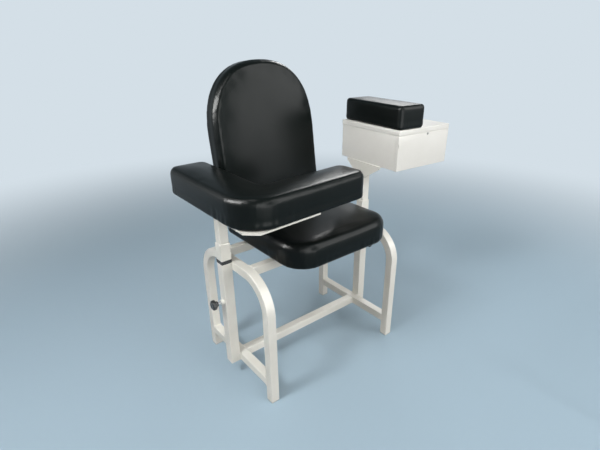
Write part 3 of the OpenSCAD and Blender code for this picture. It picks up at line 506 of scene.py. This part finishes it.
def corner_places(node, radius, ways, inset=0.0):
    """Centres of a pad's rounded corners, from its box, as (centre, radius, depth of the pleats)."""
    lo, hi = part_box(node)
    places = []
    for sx, sy in ways:
        x = hi.x - radius - inset if sx > 0 else lo.x + radius + inset
        y = hi.y - radius - inset if sy > 0 else lo.y + radius + inset
        places.append(((x, y, lo.z), radius, 1.1 * MM))
    return places


cushion("seat_pad", "seat_cushion", "frame", UP, 6 * MM, 5 * MM, 3 * MM, 18 * MM, 1 * MM,
                   corner_places("seat_cushion", 88 * MM, [(-1, -1), (1, -1)])
                   + corner_places("seat_cushion", 32 * MM, [(-1, 1), (1, 1)]), 1.0)
cushion("back_pad", "back_cushion", "frame", BACK_OUT, 6 * MM, 5 * MM, 3 * MM, 15 * MM, -0.8 * MM,
                   [], 2.0)
cushion("arm_cover", "arm_pad", "left_arm", UP, 5 * MM, 5 * MM, 3 * MM, 18 * MM, 1 * MM,
                    corner_places("arm_pad", 100 * MM, [(-1, -1)])
                    + corner_places("arm_pad", 32 * MM, [(-1, 1)]), 3.0)
cushion("box_cover", "box_pad", "right_box", UP, 4 * MM, 4 * MM, 2 * MM, 9 * MM, 1 * MM,
                    corner_places("box_pad", 14 * MM, [(-1, -1), (1, -1), (-1, 1), (1, 1)], 6 * MM), 4.0)


# Drawer box of folded sheet

SHEET = 1.2 * MM
BEND = 2.2 * MM
RIM_ROUND = 0.9 * MM


def local_box(node):
    """Lowest and highest corner of a CAD node in the drawer box's own turned frame."""
    back = BOX_FRAME.inverted()
    co = np.array([back @ v.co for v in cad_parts[node].data.vertices])
    return Vector(co.min(0)), Vector(co.max(0))


def folded_box(name, node, open_side):
    """A box of folded sheet in place of a CAD node: rounded bends, one open side and the sheet's thickness.
    open_side is the outward direction of the missing side."""
    bm = box_between(*local_box(node))
    bm.normal_update()
    open_side = Vector(open_side)
    missing = [f for f in bm.faces if f.normal.dot(open_side) > 0.9]
    rim = {e for f in missing for e in f.edges}
    bmesh.ops.delete(bm, geom=missing, context="FACES_ONLY")
    bends = [e for e in bm.edges if e not in rim]
    bmesh.ops.bevel(bm, geom=bends, offset=BEND, segments=4, profile=0.5, affect="EDGES", clamp_overlap=True)
    piece = from_bmesh(name, bm)
    outer = len(piece.data.vertices)
    wall = piece.modifiers.new("wall", "SOLIDIFY")
    wall.thickness = SHEET
    wall.offset = -1
    wall.use_even_offset = True
    bake(piece)
    # The rim's outer edge is rounded, so that the seam between two folded pieces shows as a groove
    bm = bmesh.new()
    bm.from_mesh(piece.data)
    reach = max(v.co.dot(open_side) for v in bm.verts) - 0.01 * MM
    brim = [e for e in bm.edges if all(v.index < outer and v.co.dot(open_side) > reach for v in e.verts)]
    bmesh.ops.bevel(bm, geom=brim, offset=RIM_ROUND, segments=4, profile=0.5, affect="EDGES",
                    clamp_overlap=True)
    bm.to_mesh(piece.data)
    bm.free()
    return piece


def cut(piece, lo, hi):
    """Cuts a rectangular opening, given in the drawer box's own frame, out of a piece of sheet."""
    carve(piece, from_bmesh("cutter", box_between(lo, hi)))


def settle(piece, body, node):
    """Turns a piece of the drawer box into place and hands it to its body."""
    piece.data.transform(BOX_FRAME)
    hand_over(smooth(piece), body, BOX_COAT, "box_paint", node)


settle(folded_box("lid_shell", "case_lid", (0, 0, -1)), "right_box", "case_lid")

case_lo, case_hi = local_box("drawer_case")
front_lo, front_hi = local_box("drawer_front")
case = folded_box("case_shell", "drawer_case", (0, 0, 1))
cut(case, (case_lo.x + SHEET, case_lo.y - BEND, case_lo.z + SHEET),
    (case_hi.x - SHEET, case_lo.y + BEND * 2, front_hi.z - 2 * MM))
settle(case, "right_box", "drawer_case")

SLOT_TALL = 12 * MM
SLOT_WIDE = 2.5 * MM
SLOT_DROP = 27 * MM
front = folded_box("drawer_face", "drawer_front", (0, 1, 0))
cut(front, (front_lo.x - BEND, front_lo.y - BEND, front_hi.z - SLOT_DROP - SLOT_TALL),
    (front_lo.x + SLOT_WIDE, front_lo.y + SLOT_WIDE, front_hi.z - SLOT_DROP))
settle(front, "drawer", "drawer_front")

settle(folded_box("tray_shell", "drawer_tray", (0, 0, 1)), "drawer", "drawer_tray")


# Bolts and screws, repeated by Geometry Nodes on their real places

def group_tree(name, sizes):
    """An empty Geometry Nodes tree with named size inputs, and its input and output nodes."""
    tree = bpy.data.node_groups.new(name, "GeometryNodeTree")
    tree.interface.new_socket("Geometry", in_out="INPUT", socket_type="NodeSocketGeometry")
    for size in sizes:
        tree.interface.new_socket(size, in_out="INPUT", socket_type="NodeSocketFloat")
    tree.interface.new_socket("Geometry", in_out="OUTPUT", socket_type="NodeSocketGeometry")
    return tree, add(tree, "NodeGroupInput"), add(tree, "NodeGroupOutput")


def run_tree(obj, tree, **sizes):
    """Runs a tree on an object with its named sizes and leaves a plain mesh."""
    step = obj.modifiers.new("made", "NODES")
    step.node_group = tree
    for item in tree.interface.items_tree:
        if item.in_out == "INPUT" and item.name in sizes:
            step[item.identifier] = sizes[item.name]
    return bake(obj)


def lathe(name, profile, steps=24):
    """A round solid from (radius, height) pairs, turned about Z."""
    bm = bmesh.new()
    rings = []
    for radius, height in profile:
        if radius < 1e-7:
            rings.append([bm.verts.new((0, 0, height))])
        else:
            rings.append([bm.verts.new((radius * math.cos(2 * math.pi * k / steps),
                                        radius * math.sin(2 * math.pi * k / steps), height))
                          for k in range(steps)])
    for low, high in zip(rings, rings[1:]):
        for k in range(steps):
            n = (k + 1) % steps
            if len(low) == 1:
                bm.faces.new((low[0], high[n], high[k]))
            elif len(high) == 1:
                bm.faces.new((low[k], low[n], high[0]))
            else:
                bm.faces.new((low[k], low[n], high[n], high[k]))
    bmesh.ops.recalc_face_normals(bm, faces=bm.faces)
    return from_bmesh(name, bm)


def bolt_master(name, head, tall, shank, length, flats):
    """One bolt, its head below z = 0: a hexagon head with a washer, or a round head with a cross recess."""
    if flats:
        body = lathe(name, [(0, -tall), (0.46 * head, -tall), (0.5 * head, -0.8 * tall),
                            (0.5 * head, -0.25 * tall), (0, -0.25 * tall)], 6)
        washer = lathe("washer", [(0, -0.25 * tall), (0.62 * head, -0.25 * tall), (0.65 * head, -0.18 * tall),
                                  (0.65 * head, 0), (0, 0)], 32)
        parts = [body, washer]
    else:
        body = lathe(name, [(0, -tall), (0.22 * head, -0.97 * tall), (0.4 * head, -0.75 * tall),
                            (0.5 * head, -0.35 * tall), (0.5 * head, 0), (0, 0)], 32)
        for turn in (0, 90):
            blade = box_between((-0.25 * head, -0.05 * head, -1.5 * tall),
                                (0.25 * head, 0.05 * head, -0.5 * tall))
            bmesh.ops.rotate(blade, verts=blade.verts, matrix=Matrix.Rotation(math.radians(turn), 3, "Z"))
            carve(body, from_bmesh("cross", blade))
        parts = [body]
    parts.append(lathe("shank", [(0, -0.1 * tall), (0.5 * shank, -0.1 * tall),
                                 (0.5 * shank, length - shank / 4), (0.35 * shank, length), (0, length)], 20))
    bm = bmesh.new()
    for part in parts:
        bm.from_mesh(part.data)
    for part in parts:
        bpy.data.objects.remove(part)
    master = from_bmesh(name, bm)
    smooth(master, 25)
    return master


def axis_turn(way):
    """The turn that takes +Z to a direction."""
    return Vector((0, 0, 1)).rotation_difference(Vector(way))


def fasteners(name, node, body, way, head, tall, shank, flats):
    """One bolt at each solid of a CAD node of fasteners. way points from the head to the tip."""
    way = Vector(way).normalized()
    turn = axis_turn(way)
    across = [np.array(turn @ Vector(a)) for a in ((1, 0, 0), (0, 1, 0))]
    seats = []
    for co in solids_of(node):
        along = co @ np.array(way)
        mid = [(co @ a).min() / 2 + (co @ a).max() / 2 for a in across]
        seats.append(Vector(mid[0] * across[0] + mid[1] * across[1]) + way * (along.min() + tall))
        length = along.max() - along.min() - tall
    master = bolt_master(name + "_one", head, tall, shank, length, flats)
    bm = bmesh.new()
    for seat in seats:
        bm.verts.new(seat)
    piece = from_bmesh(name, bm)
    tree, given, result = group_tree(name + "_tree", ["Turn"])
    shape = add(tree, "GeometryNodeObjectInfo", {"Object": master})
    spin = add(tree, "ShaderNodeCombineXYZ", {"Z": given.outputs["Turn"]})
    copies = add(tree, "GeometryNodeInstanceOnPoints",
                 {"Points": given.outputs["Geometry"], "Instance": shape.outputs["Geometry"],
                  "Rotation": tuple(turn.to_euler())})
    turned = add(tree, "GeometryNodeRotateInstances",
                 {"Instances": copies.outputs[0], "Rotation": spin.outputs[0]})
    whole = add(tree, "GeometryNodeRealizeInstances", {"Geometry": turned.outputs[0]})
    coated = add(tree, "GeometryNodeSetMaterial", {"Geometry": whole.outputs[0], "Material": ZINC})
    tree.links.new(coated.outputs[0], result.inputs[0])
    run_tree(piece, tree, Turn=math.radians(17))
    bpy.data.objects.remove(master)
    hand_over(smooth(piece, 25), body, ZINC, "zinc_steel", node)


fasteners("seat_bolt_set", "seat_bolts", "frame", UP, 11 * MM, 4 * MM, 6 * MM, True)
fasteners("back_bolt_set", "back_bolts", "frame", BACK_OUT, 11 * MM, 4 * MM, 6 * MM, True)
fasteners("arm_screw_set", "arm_screws", "left_arm", UP, 10 * MM, 2.5 * MM, 5 * MM, False)
fasteners("bracket_screw_set", "bracket_screws", "right_box", UP, 10 * MM, 2.5 * MM, 5 * MM, False)
fasteners("box_pad_screw_set", "box_pad_screws", "right_box", UP, 10 * MM, 2.5 * MM, 5 * MM, False)
fasteners("drawer_screw_set", "drawer_screws", "drawer", BOX_FRAME.to_3x3() @ Vector((0, -1, 0)),
          10 * MM, 2.5 * MM, 5 * MM, False)


# Staples and the folded edge of the seat's and the arm pad's covers under their boards

def outline_of(node, out):
    """The outer outline of a flat board, as points in order, seen along its out direction."""
    obj = merged_copy("outline", node)
    co = points_of(obj)
    height = co @ np.array(out)
    bm = bmesh.new()
    bm.from_mesh(obj.data)
    bm.verts.ensure_lookup_table()
    low = height.min() + 0.1 * MM
    faces = [f for f in bm.faces if all(height[v.index] < low for v in f.verts)]
    loose = [e for f in faces for e in f.edges if sum(g in faces for g in e.link_faces) == 1]
    loops, left = [], set(loose)
    while left:
        edge = left.pop()
        loop, end = [edge.verts[0], edge.verts[1]], edge.verts[1]
        while True:
            nexts = [e for e in end.link_edges if e in left]
            if not nexts:
                break
            left.discard(nexts[0])
            end = nexts[0].other_vert(end)
            if end == loop[0]:
                break
            loop.append(end)
        loops.append([v.co.copy() for v in loop])
    bm.free()
    bpy.data.objects.remove(obj)
    return max(loops, key=lambda l: sum((a - b).length for a, b in zip(l, l[1:] + l[:1])))


def drawn_in(loop, out, distance):
    """An outline moved inwards in its plane by a distance."""
    out = Vector(out)
    area = sum(((a - loop[0]).cross(b - loop[0])).dot(out) for a, b in zip(loop, loop[1:]))
    sign = 1 if area > 0 else -1
    made = []
    for i, point in enumerate(loop):
        before, after = loop[i - 1], loop[(i + 1) % len(loop)]
        one = out.cross((point - before).normalized()) * sign
        two = out.cross((after - point).normalized()) * sign
        both = one + two
        made.append(point + both * (distance / max(0.6, 1 + one.dot(two))))
    return made


HEM = 22 * MM
HEM_THICK = 0.6 * MM
STAPLE = 10 * MM
STAPLE_WIRE = 0.45 * MM    # half the wire's thickness


def hem(name, node, body, out):
    """The edge of a cover folded under its board: a thin band with waves where it is gathered."""
    loop = outline_of(node, out)
    out = Vector(out)
    lines = [drawn_in(loop, out, d) for d in (-1.5 * MM, 0.3 * HEM, 0.7 * HEM, HEM)]
    bm = bmesh.new()
    count = len(loop)
    walls = []
    for row, line in enumerate(lines):
        lift = HEM_THICK if row else 0.2 * HEM_THICK
        walls.append([bm.verts.new(p - out * (lift + (0.25 * HEM_THICK if (k + row) % 2 else 0)))
                      for k, p in enumerate(line)])
    walls += [[bm.verts.new(p + out * 0.2 * MM) for p in line] for line in (lines[-1], lines[0])]
    for low, high in zip(walls, walls[1:] + walls[:1]):
        for k in range(count):
            n = (k + 1) % count
            bm.faces.new((low[k], low[n], high[n], high[k]))
    bmesh.ops.recalc_face_normals(bm, faces=bm.faces)
    band = from_bmesh(name, bm)
    band.data.polygons.foreach_set("use_smooth", [True] * len(band.data.polygons))
    hand_over(band, body, VINYL, "vinyl")
    return drawn_in(loop, out, 0.72 * HEM)


def staples(name, path, body, out, spacing=26 * MM):
    """Wire staples in a row along a closed path, one tree for every row."""
    bm = bmesh.new()
    points = [bm.verts.new(p - Vector(out) * HEM_THICK) for p in path]
    for a, b in zip(points, points[1:] + points[:1]):
        bm.edges.new((a, b))
    piece = from_bmesh(name, bm)
    wire = lathe("staple", [(0, -STAPLE / 2), (STAPLE_WIRE, -STAPLE / 2), (STAPLE_WIRE, STAPLE / 2),
                            (0, STAPLE / 2)], 8)
    wire.data.transform(Matrix.Rotation(math.radians(90), 4, "Y"))
    tree, given, result = group_tree(name + "_tree", ["Spacing"])
    curve = add(tree, "GeometryNodeMeshToCurve", {"Mesh": given.outputs["Geometry"]})
    even = add(tree, "GeometryNodeCurveToPoints",
               {"Curve": curve.outputs[0], "Length": given.outputs["Spacing"]}, mode="LENGTH")
    shape = add(tree, "GeometryNodeObjectInfo", {"Object": wire})
    copies = add(tree, "GeometryNodeInstanceOnPoints",
                 {"Points": even.outputs["Points"], "Instance": shape.outputs["Geometry"]})
    along = add(tree, "FunctionNodeAlignEulerToVector", {"Vector": even.outputs["Tangent"]}, axis="X")
    tree.links.new(along.outputs[0], copies.inputs["Rotation"])
    whole = add(tree, "GeometryNodeRealizeInstances", {"Geometry": copies.outputs[0]})
    coated = add(tree, "GeometryNodeSetMaterial", {"Geometry": whole.outputs[0], "Material": ZINC})
    tree.links.new(coated.outputs[0], result.inputs[0])
    run_tree(piece, tree, Spacing=spacing)
    bpy.data.objects.remove(wire)
    hand_over(smooth(piece, 40), body, ZINC, "zinc_steel")


for board, body in (("seat_board", "frame"), ("arm_board", "left_arm")):
    path = hem(board.replace("board", "hem"), board, body, UP)
    staples(board.replace("board", "staples"), path, body, UP)


# Weld beads, repeated by Geometry Nodes along the seams between tubes

BEAD = 1.7 * MM            # radius of a bead
BEAD_IN = 2 * MM           # beads on a sleeve's end lie this far in from its sides


def beads(name, paths, body):
    """Weld beads under the powder coat: overlapping drops along each path of points."""
    bm = bmesh.new()
    for path, closed in paths:
        verts = [bm.verts.new(p) for p in path]
        for a, b in zip(verts, verts[1:] + (verts[:1] if closed else [])):
            bm.edges.new((a, b))
    piece = from_bmesh(name, bm)
    tree, given, result = group_tree(name + "_tree", ["Radius", "Spacing"])
    curve = add(tree, "GeometryNodeMeshToCurve", {"Mesh": given.outputs["Geometry"]})
    even = add(tree, "GeometryNodeCurveToPoints",
               {"Curve": curve.outputs[0], "Length": given.outputs["Spacing"]}, mode="LENGTH")
    drop = add(tree, "GeometryNodeMeshUVSphere",
               {"Segments": 8, "Rings": 6, "Radius": given.outputs["Radius"]})
    copies = add(tree, "GeometryNodeInstanceOnPoints",
                 {"Points": even.outputs["Points"], "Instance": drop.outputs["Mesh"]})
    whole = add(tree, "GeometryNodeRealizeInstances", {"Geometry": copies.outputs[0]})
    coated = add(tree, "GeometryNodeSetMaterial", {"Geometry": whole.outputs[0], "Material": FRAME_COAT})
    tree.links.new(coated.outputs[0], result.inputs[0])
    run_tree(piece, tree, Radius=BEAD, Spacing=1.1 * BEAD)
    piece.data.polygons.foreach_set("use_smooth", [True] * len(piece.data.polygons))
    hand_over(piece, body, FRAME_COAT, "frame_paint")


def ring_at(centre, one, two, wide, tall):
    """Corners of a rectangle round a tube's end, with its two directions."""
    centre, one, two = Vector(centre), Vector(one) * wide / 2, Vector(two) * tall / 2
    return [centre + one + two, centre - one + two, centre - one - two, centre + one - two], True


def middle_of(node):
    lo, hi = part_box(node)
    return (lo + hi) / 2, hi - lo


frame_paths = []
for rail in ("left_side_rail", "right_side_rail"):
    mid, size = middle_of(rail)
    for s in (-1, 1):
        end = mid + Vector((0, s * size.y / 2, 0))
        frame_paths.append(ring_at(end, (1, 0, 0), (0, 0, 1), size.x, size.z))
for rail in ("stretcher", "front_seat_rail", "rear_seat_rail"):
    mid, size = middle_of(rail)
    for s in (-1, 1):
        end = mid + Vector((s * size.x / 2, 0, 0))
        frame_paths.append(ring_at(end, (0, 1, 0), (0, 0, 1), size.y, size.z))
for side, mast, hoop, rail in ((-1, "left_mast_tube", "left_hoop", "left_side_rail"),
                               (1, "right_mast_tube", "right_hoop", "right_side_rail")):
    lo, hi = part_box(mast)
    face = hi.x if side < 0 else lo.x
    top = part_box(hoop)[1].z
    for y in (lo.y, hi.y):
        frame_paths.append(([Vector((face, y, top - 28 * MM)), Vector((face, y, hi.z - 1 * MM))], False))
        frame_paths.append(([Vector((face, y, lo.z + 1 * MM)), Vector((face, y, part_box(rail)[1].z))], False))
for upright in ("left_back_upright", "right_back_upright"):
    lo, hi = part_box(upright)
    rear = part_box("rear_seat_rail")
    mid = Vector(((lo.x + hi.x) / 2, rear[1].y, (rear[0].z + rear[1].z) / 2))
    frame_paths.append(ring_at(mid, (1, 0, 0), (0, 0, 1), hi.x - lo.x, hi.x - lo.x))
beads("frame_welds", frame_paths, "frame")

mid, size = middle_of("arm_post")
arm_paths = [ring_at(mid + Vector((0, 0, size.z / 2)), (1, 0, 0), (0, 1, 0), size.x, size.y)]
mid, size = middle_of("left_head_sleeve")
arm_paths.append(ring_at(mid + Vector((0, 0, size.z / 2)), (1, 0, 0), (0, 1, 0),
                         size.x - 2 * BEAD_IN, size.y - 2 * BEAD_IN))
beads("arm_welds", arm_paths, "left_arm")

lo, hi = local_box("box_post")
box_paths = [([BOX_FRAME @ Vector(p) for p in ((lo.x, lo.y, hi.z), (hi.x, lo.y, hi.z), (hi.x, hi.y, hi.z),
                                              (lo.x, hi.y, hi.z))], True)]
for y in (lo.y, hi.y):
    box_paths.append(([BOX_FRAME @ Vector((lo.x, y, local_box("box_bracket")[0].z + 2 * MM)),
                       BOX_FRAME @ Vector((lo.x, y, hi.z))], False))
slo, shi = local_box("right_head_sleeve")
box_paths.append(([BOX_FRAME @ Vector(p) for p in (
    (slo.x + BEAD_IN, slo.y + BEAD_IN, shi.z), (shi.x - BEAD_IN, slo.y + BEAD_IN, shi.z),
    (shi.x - BEAD_IN, shi.y - BEAD_IN, shi.z), (slo.x + BEAD_IN, shi.y - BEAD_IN, shi.z))], True))
beads("box_welds", box_paths, "right_box")


# Clamp knobs with six lobes

def knob(name, node, body, side):
    """A moulded star knob in place of a CAD knob: rounded lobes, a domed face and a hub towards the mast."""
    lo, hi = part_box(node)
    centre = Vector((0, (lo.y + hi.y) / 2, (lo.z + hi.z) / 2))
    radius = (hi.y - lo.y) / 2 * 1.02
    length = hi.x - lo.x
    near = hi.x if side < 0 else lo.x
    hub, steps, lobes = 9 * MM, 72, 6
    # Radius share, distance from the mast as a share of the length, and share of lobes in the outline
    profile = [(0, 0, 0), (hub / radius, 0, 0), (hub / radius, 0.2, 0), (0.7, 0.26, 0.5), (0.93, 0.34, 1),
               (1.0, 0.45, 1), (1.0, 0.8, 1), (0.95, 0.92, 1), (0.82, 0.985, 0.8), (0.5, 1.0, 0.3),
               (0.3, 0.99, 0),
               (0.26, 0.96, 0), (0, 0.96, 0)]
    bm = bmesh.new()
    rings = []
    for share, along, lobed in profile:
        ring = []
        for k in range(steps if share else 1):
            a = 2 * math.pi * k / steps
            r = radius * share * (1 - 0.13 * lobed * (0.5 - 0.5 * math.cos(lobes * a)) ** 0.8)
            ring.append(bm.verts.new((near + side * along * length, centre.y + r * math.cos(a),
                                      centre.z + r * math.sin(a))))
        rings.append(ring)
    for low, high in zip(rings, rings[1:]):
        for k in range(steps):
            n = (k + 1) % steps
            corners = [low[k % len(low)], low[n % len(low)], high[n % len(high)], high[k % len(high)]]
            bm.faces.new(list(dict.fromkeys(corners)))
    bmesh.ops.recalc_face_normals(bm, faces=bm.faces)
    piece = from_bmesh(name, bm)
    hand_over(smooth(piece, 45), body, BLACK_PHENOLIC, "black_plastic", node)


knob("left_star_knob", "left_knob", "left_knob", -1)
knob("right_star_knob", "right_knob", "right_knob", 1)


# Floor, light and camera

FLOOR_SEEN = "#a4bac9"
FLOOR_LIT = "#8f9193"    # what matt surfaces get back from the floor
FAR_SEEN = "#d4dfe7"
HIGH_SEEN = "#76828a"


def seen_by_eye(tree):
    """1 for what the camera sees, also in gloss and through glass, and 0 for the light on matt surfaces."""
    path = add(tree, "ShaderNodeLightPath")
    seen = path.outputs["Is Camera Ray"]
    for ray in ("Is Glossy Ray", "Is Transmission Ray"):
        seen = add(tree, "ShaderNodeMath", {0: seen, 1: path.outputs[ray]}, operation="MAXIMUM").outputs[0]
    return seen


def studio():
    """A plain pale floor that fades into the background, soft lamps and an even sky."""
    bpy.ops.mesh.primitive_circle_add(vertices=96, radius=14, fill_type="NGON", location=(0, 0, 0))
    floor = bpy.context.active_object
    floor.name = "floor"
    made, tree, shader = material("painted_floor", Roughness=0.8, IOR=1.5, Specular_IOR_Level=0.1)
    at = add(tree, "ShaderNodeTexCoord").outputs["Object"]
    seen = seen_by_eye(tree)
    paint = add(tree, "ShaderNodeMixRGB", {0: seen, 1: linear(FLOOR_LIT), 2: linear(FLOOR_SEEN)})
    tree.links.new(paint.outputs[0], shader.inputs["Base Color"])
    distance = add(tree, "ShaderNodeVectorMath", {0: at}, operation="LENGTH")
    share = add(tree, "ShaderNodeMapRange",
                {"Value": distance.outputs["Value"], "From Min": 1.2, "From Max": 3.4})
    share.interpolation_type = "SMOOTHSTEP"
    fade = add(tree, "ShaderNodeMath", {0: share.outputs[0], 1: seen}, operation="MULTIPLY")
    far = add(tree, "ShaderNodeEmission", {"Color": linear(FAR_SEEN), "Strength": 1.0})
    both = add(tree, "ShaderNodeMixShader", {0: fade.outputs[0], 1: shader.outputs[0], 2: far.outputs[0]})
    output = next(n for n in tree.nodes if n.type == "OUTPUT_MATERIAL")
    tree.links.new(both.outputs[0], output.inputs["Surface"])
    dress(floor, made)

    world = bpy.data.worlds.new("studio")
    bpy.context.scene.world = world
    world.use_nodes = True
    tree = world.node_tree
    tree.nodes.clear()
    seen = seen_by_eye(tree)
    soft = add(tree, "ShaderNodeBackground", {"Color": linear("#f4f4f2"), "Strength": 0.28})
    # Pale wall that darkens above the object towards the ceiling
    way = add(tree, "ShaderNodeSeparateXYZ", {"Vector": add(tree, "ShaderNodeTexCoord").outputs["Generated"]})
    rise = add(tree, "ShaderNodeMapRange", {"Value": way.outputs["Z"], "From Min": 0.1, "From Max": 0.4})
    wall = add(tree, "ShaderNodeMixRGB", {0: rise.outputs[0], 1: linear(FAR_SEEN), 2: linear(HIGH_SEEN)})
    pale = add(tree, "ShaderNodeBackground", {"Color": wall.outputs[0], "Strength": 1.0})
    both = add(tree, "ShaderNodeMixShader", {0: seen, 1: soft.outputs[0], 2: pale.outputs[0]})
    add(tree, "ShaderNodeOutputWorld", {"Surface": both.outputs[0]})

    # Lamps that light the chair: high on the left, under the ceiling, a tall strip, in front and on the right
    lamp("left_lamp", (-2.1, -0.15, 2.52), (0, 0, 0.7), 0.65, 0.65, 41)
    lamp("ceiling_light", (-0.75, -0.35, 2.35), (0, 0, 0.7), 0.5, 0.5, 6)
    lamp("left_strip", (-1.86, -1.86, 1.66), (0, 0, 0.7), 0.35, 1.4, 16, glossy=False)
    lamp("front_lamp", (1.27, -2.6, 1.55), (1.27, 0, 1.55), 3.0, 1.9, 68, glossy=False)
    lamp("right_lamp", (2.28, -0.83, 2.1), (0, 0, 0.7), 0.9, 0.9, 6)
    lamp("rear_lamp", (1.9, 1.0, 2.5), (0, 0, 0.7), 0.7, 0.7, 8)
    # Boards that show only in glossy surfaces: a wide tilted one in front, whose lower edge crosses the back's
    # gloss, one on the left for the arm pad's corner, and two behind on the right
    lamp("front_board", (0.88, -2.6, 1.75), (0.88, 0, 1.75), 5.5, 2.6, 285, 24.5, diffuse=False)
    lamp("left_board", (-2.5, 0.67, 1.97), (-0.2, -0.3, 0.7), 2.4, 0.8, 270, 28, diffuse=False)
    lamp("rear_board", (3.0, 2.1, 1.95), (0, -0.2, 0.7), 1.1, 0.5, 6, diffuse=False)
    lamp("high_rear_board", (2.65, 1.7, 2.8), (0.2, -0.3, 0.7), 0.9, 0.5, 36, diffuse=False)


def lamp(name, place, aim, wide, tall, power, roll=0, diffuse=True, glossy=True):
    """A soft oblong lamp turned towards a point, with a roll about its own axis in degrees. It may be kept out
    of matt shading or out of reflections."""
    data = bpy.data.lights.new(name, "AREA")
    data.shape = "RECTANGLE"
    data.size = wide
    data.size_y = tall
    data.energy = power
    data.color = (1, 0.995, 0.985)
    made = bpy.data.objects.new(name, data)
    aimed = (Vector(aim) - Vector(place)).to_track_quat("-Z", "Y")
    made.rotation_euler = (aimed @ Matrix.Rotation(math.radians(roll), 3, "Z").to_quaternion()).to_euler()
    made.location = place
    made.visible_camera = False
    made.visible_diffuse = diffuse
    made.visible_glossy = glossy
    bpy.context.scene.collection.objects.link(made)
    return made


def photo_camera():
    """The camera at the photograph's place and angle, for a 600 by 450 frame."""
    place = Vector((-0.8376, -1.0674, 1.0718))
    yaw, pitch, roll = math.radians(39.203), math.radians(25.052), math.radians(-0.237)
    look = Vector((math.sin(yaw) * math.cos(pitch), math.cos(yaw) * math.cos(pitch), -math.sin(pitch)))
    right = Vector((math.cos(yaw), -math.sin(yaw), 0))
    above = right.cross(look)
    turned_right = math.cos(roll) * right + math.sin(roll) * above
    turned_above = -math.sin(roll) * right + math.cos(roll) * above
    data = bpy.data.cameras.new("photo_camera")
    data.sensor_fit = "HORIZONTAL"
    data.sensor_width = 36
    focal_pixels = 417.8
    centre_x, centre_y = 308.5, 238.4
    data.lens = focal_pixels * data.sensor_width / PHOTO_WIDTH
    data.shift_x = (300 - centre_x) / PHOTO_WIDTH
    data.shift_y = (centre_y - 225) / PHOTO_WIDTH
    data.clip_start = 0.05
    data.clip_end = 60
    made = bpy.data.objects.new("photo_camera", data)
    made.matrix_world = Matrix((turned_right, turned_above, -look)).transposed().to_4x4()
    made.location = place
    bpy.context.scene.collection.objects.link(made)
    bpy.context.scene.camera = made


studio()
photo_camera()
bpy.context.scene.view_settings.view_transform = "Standard"
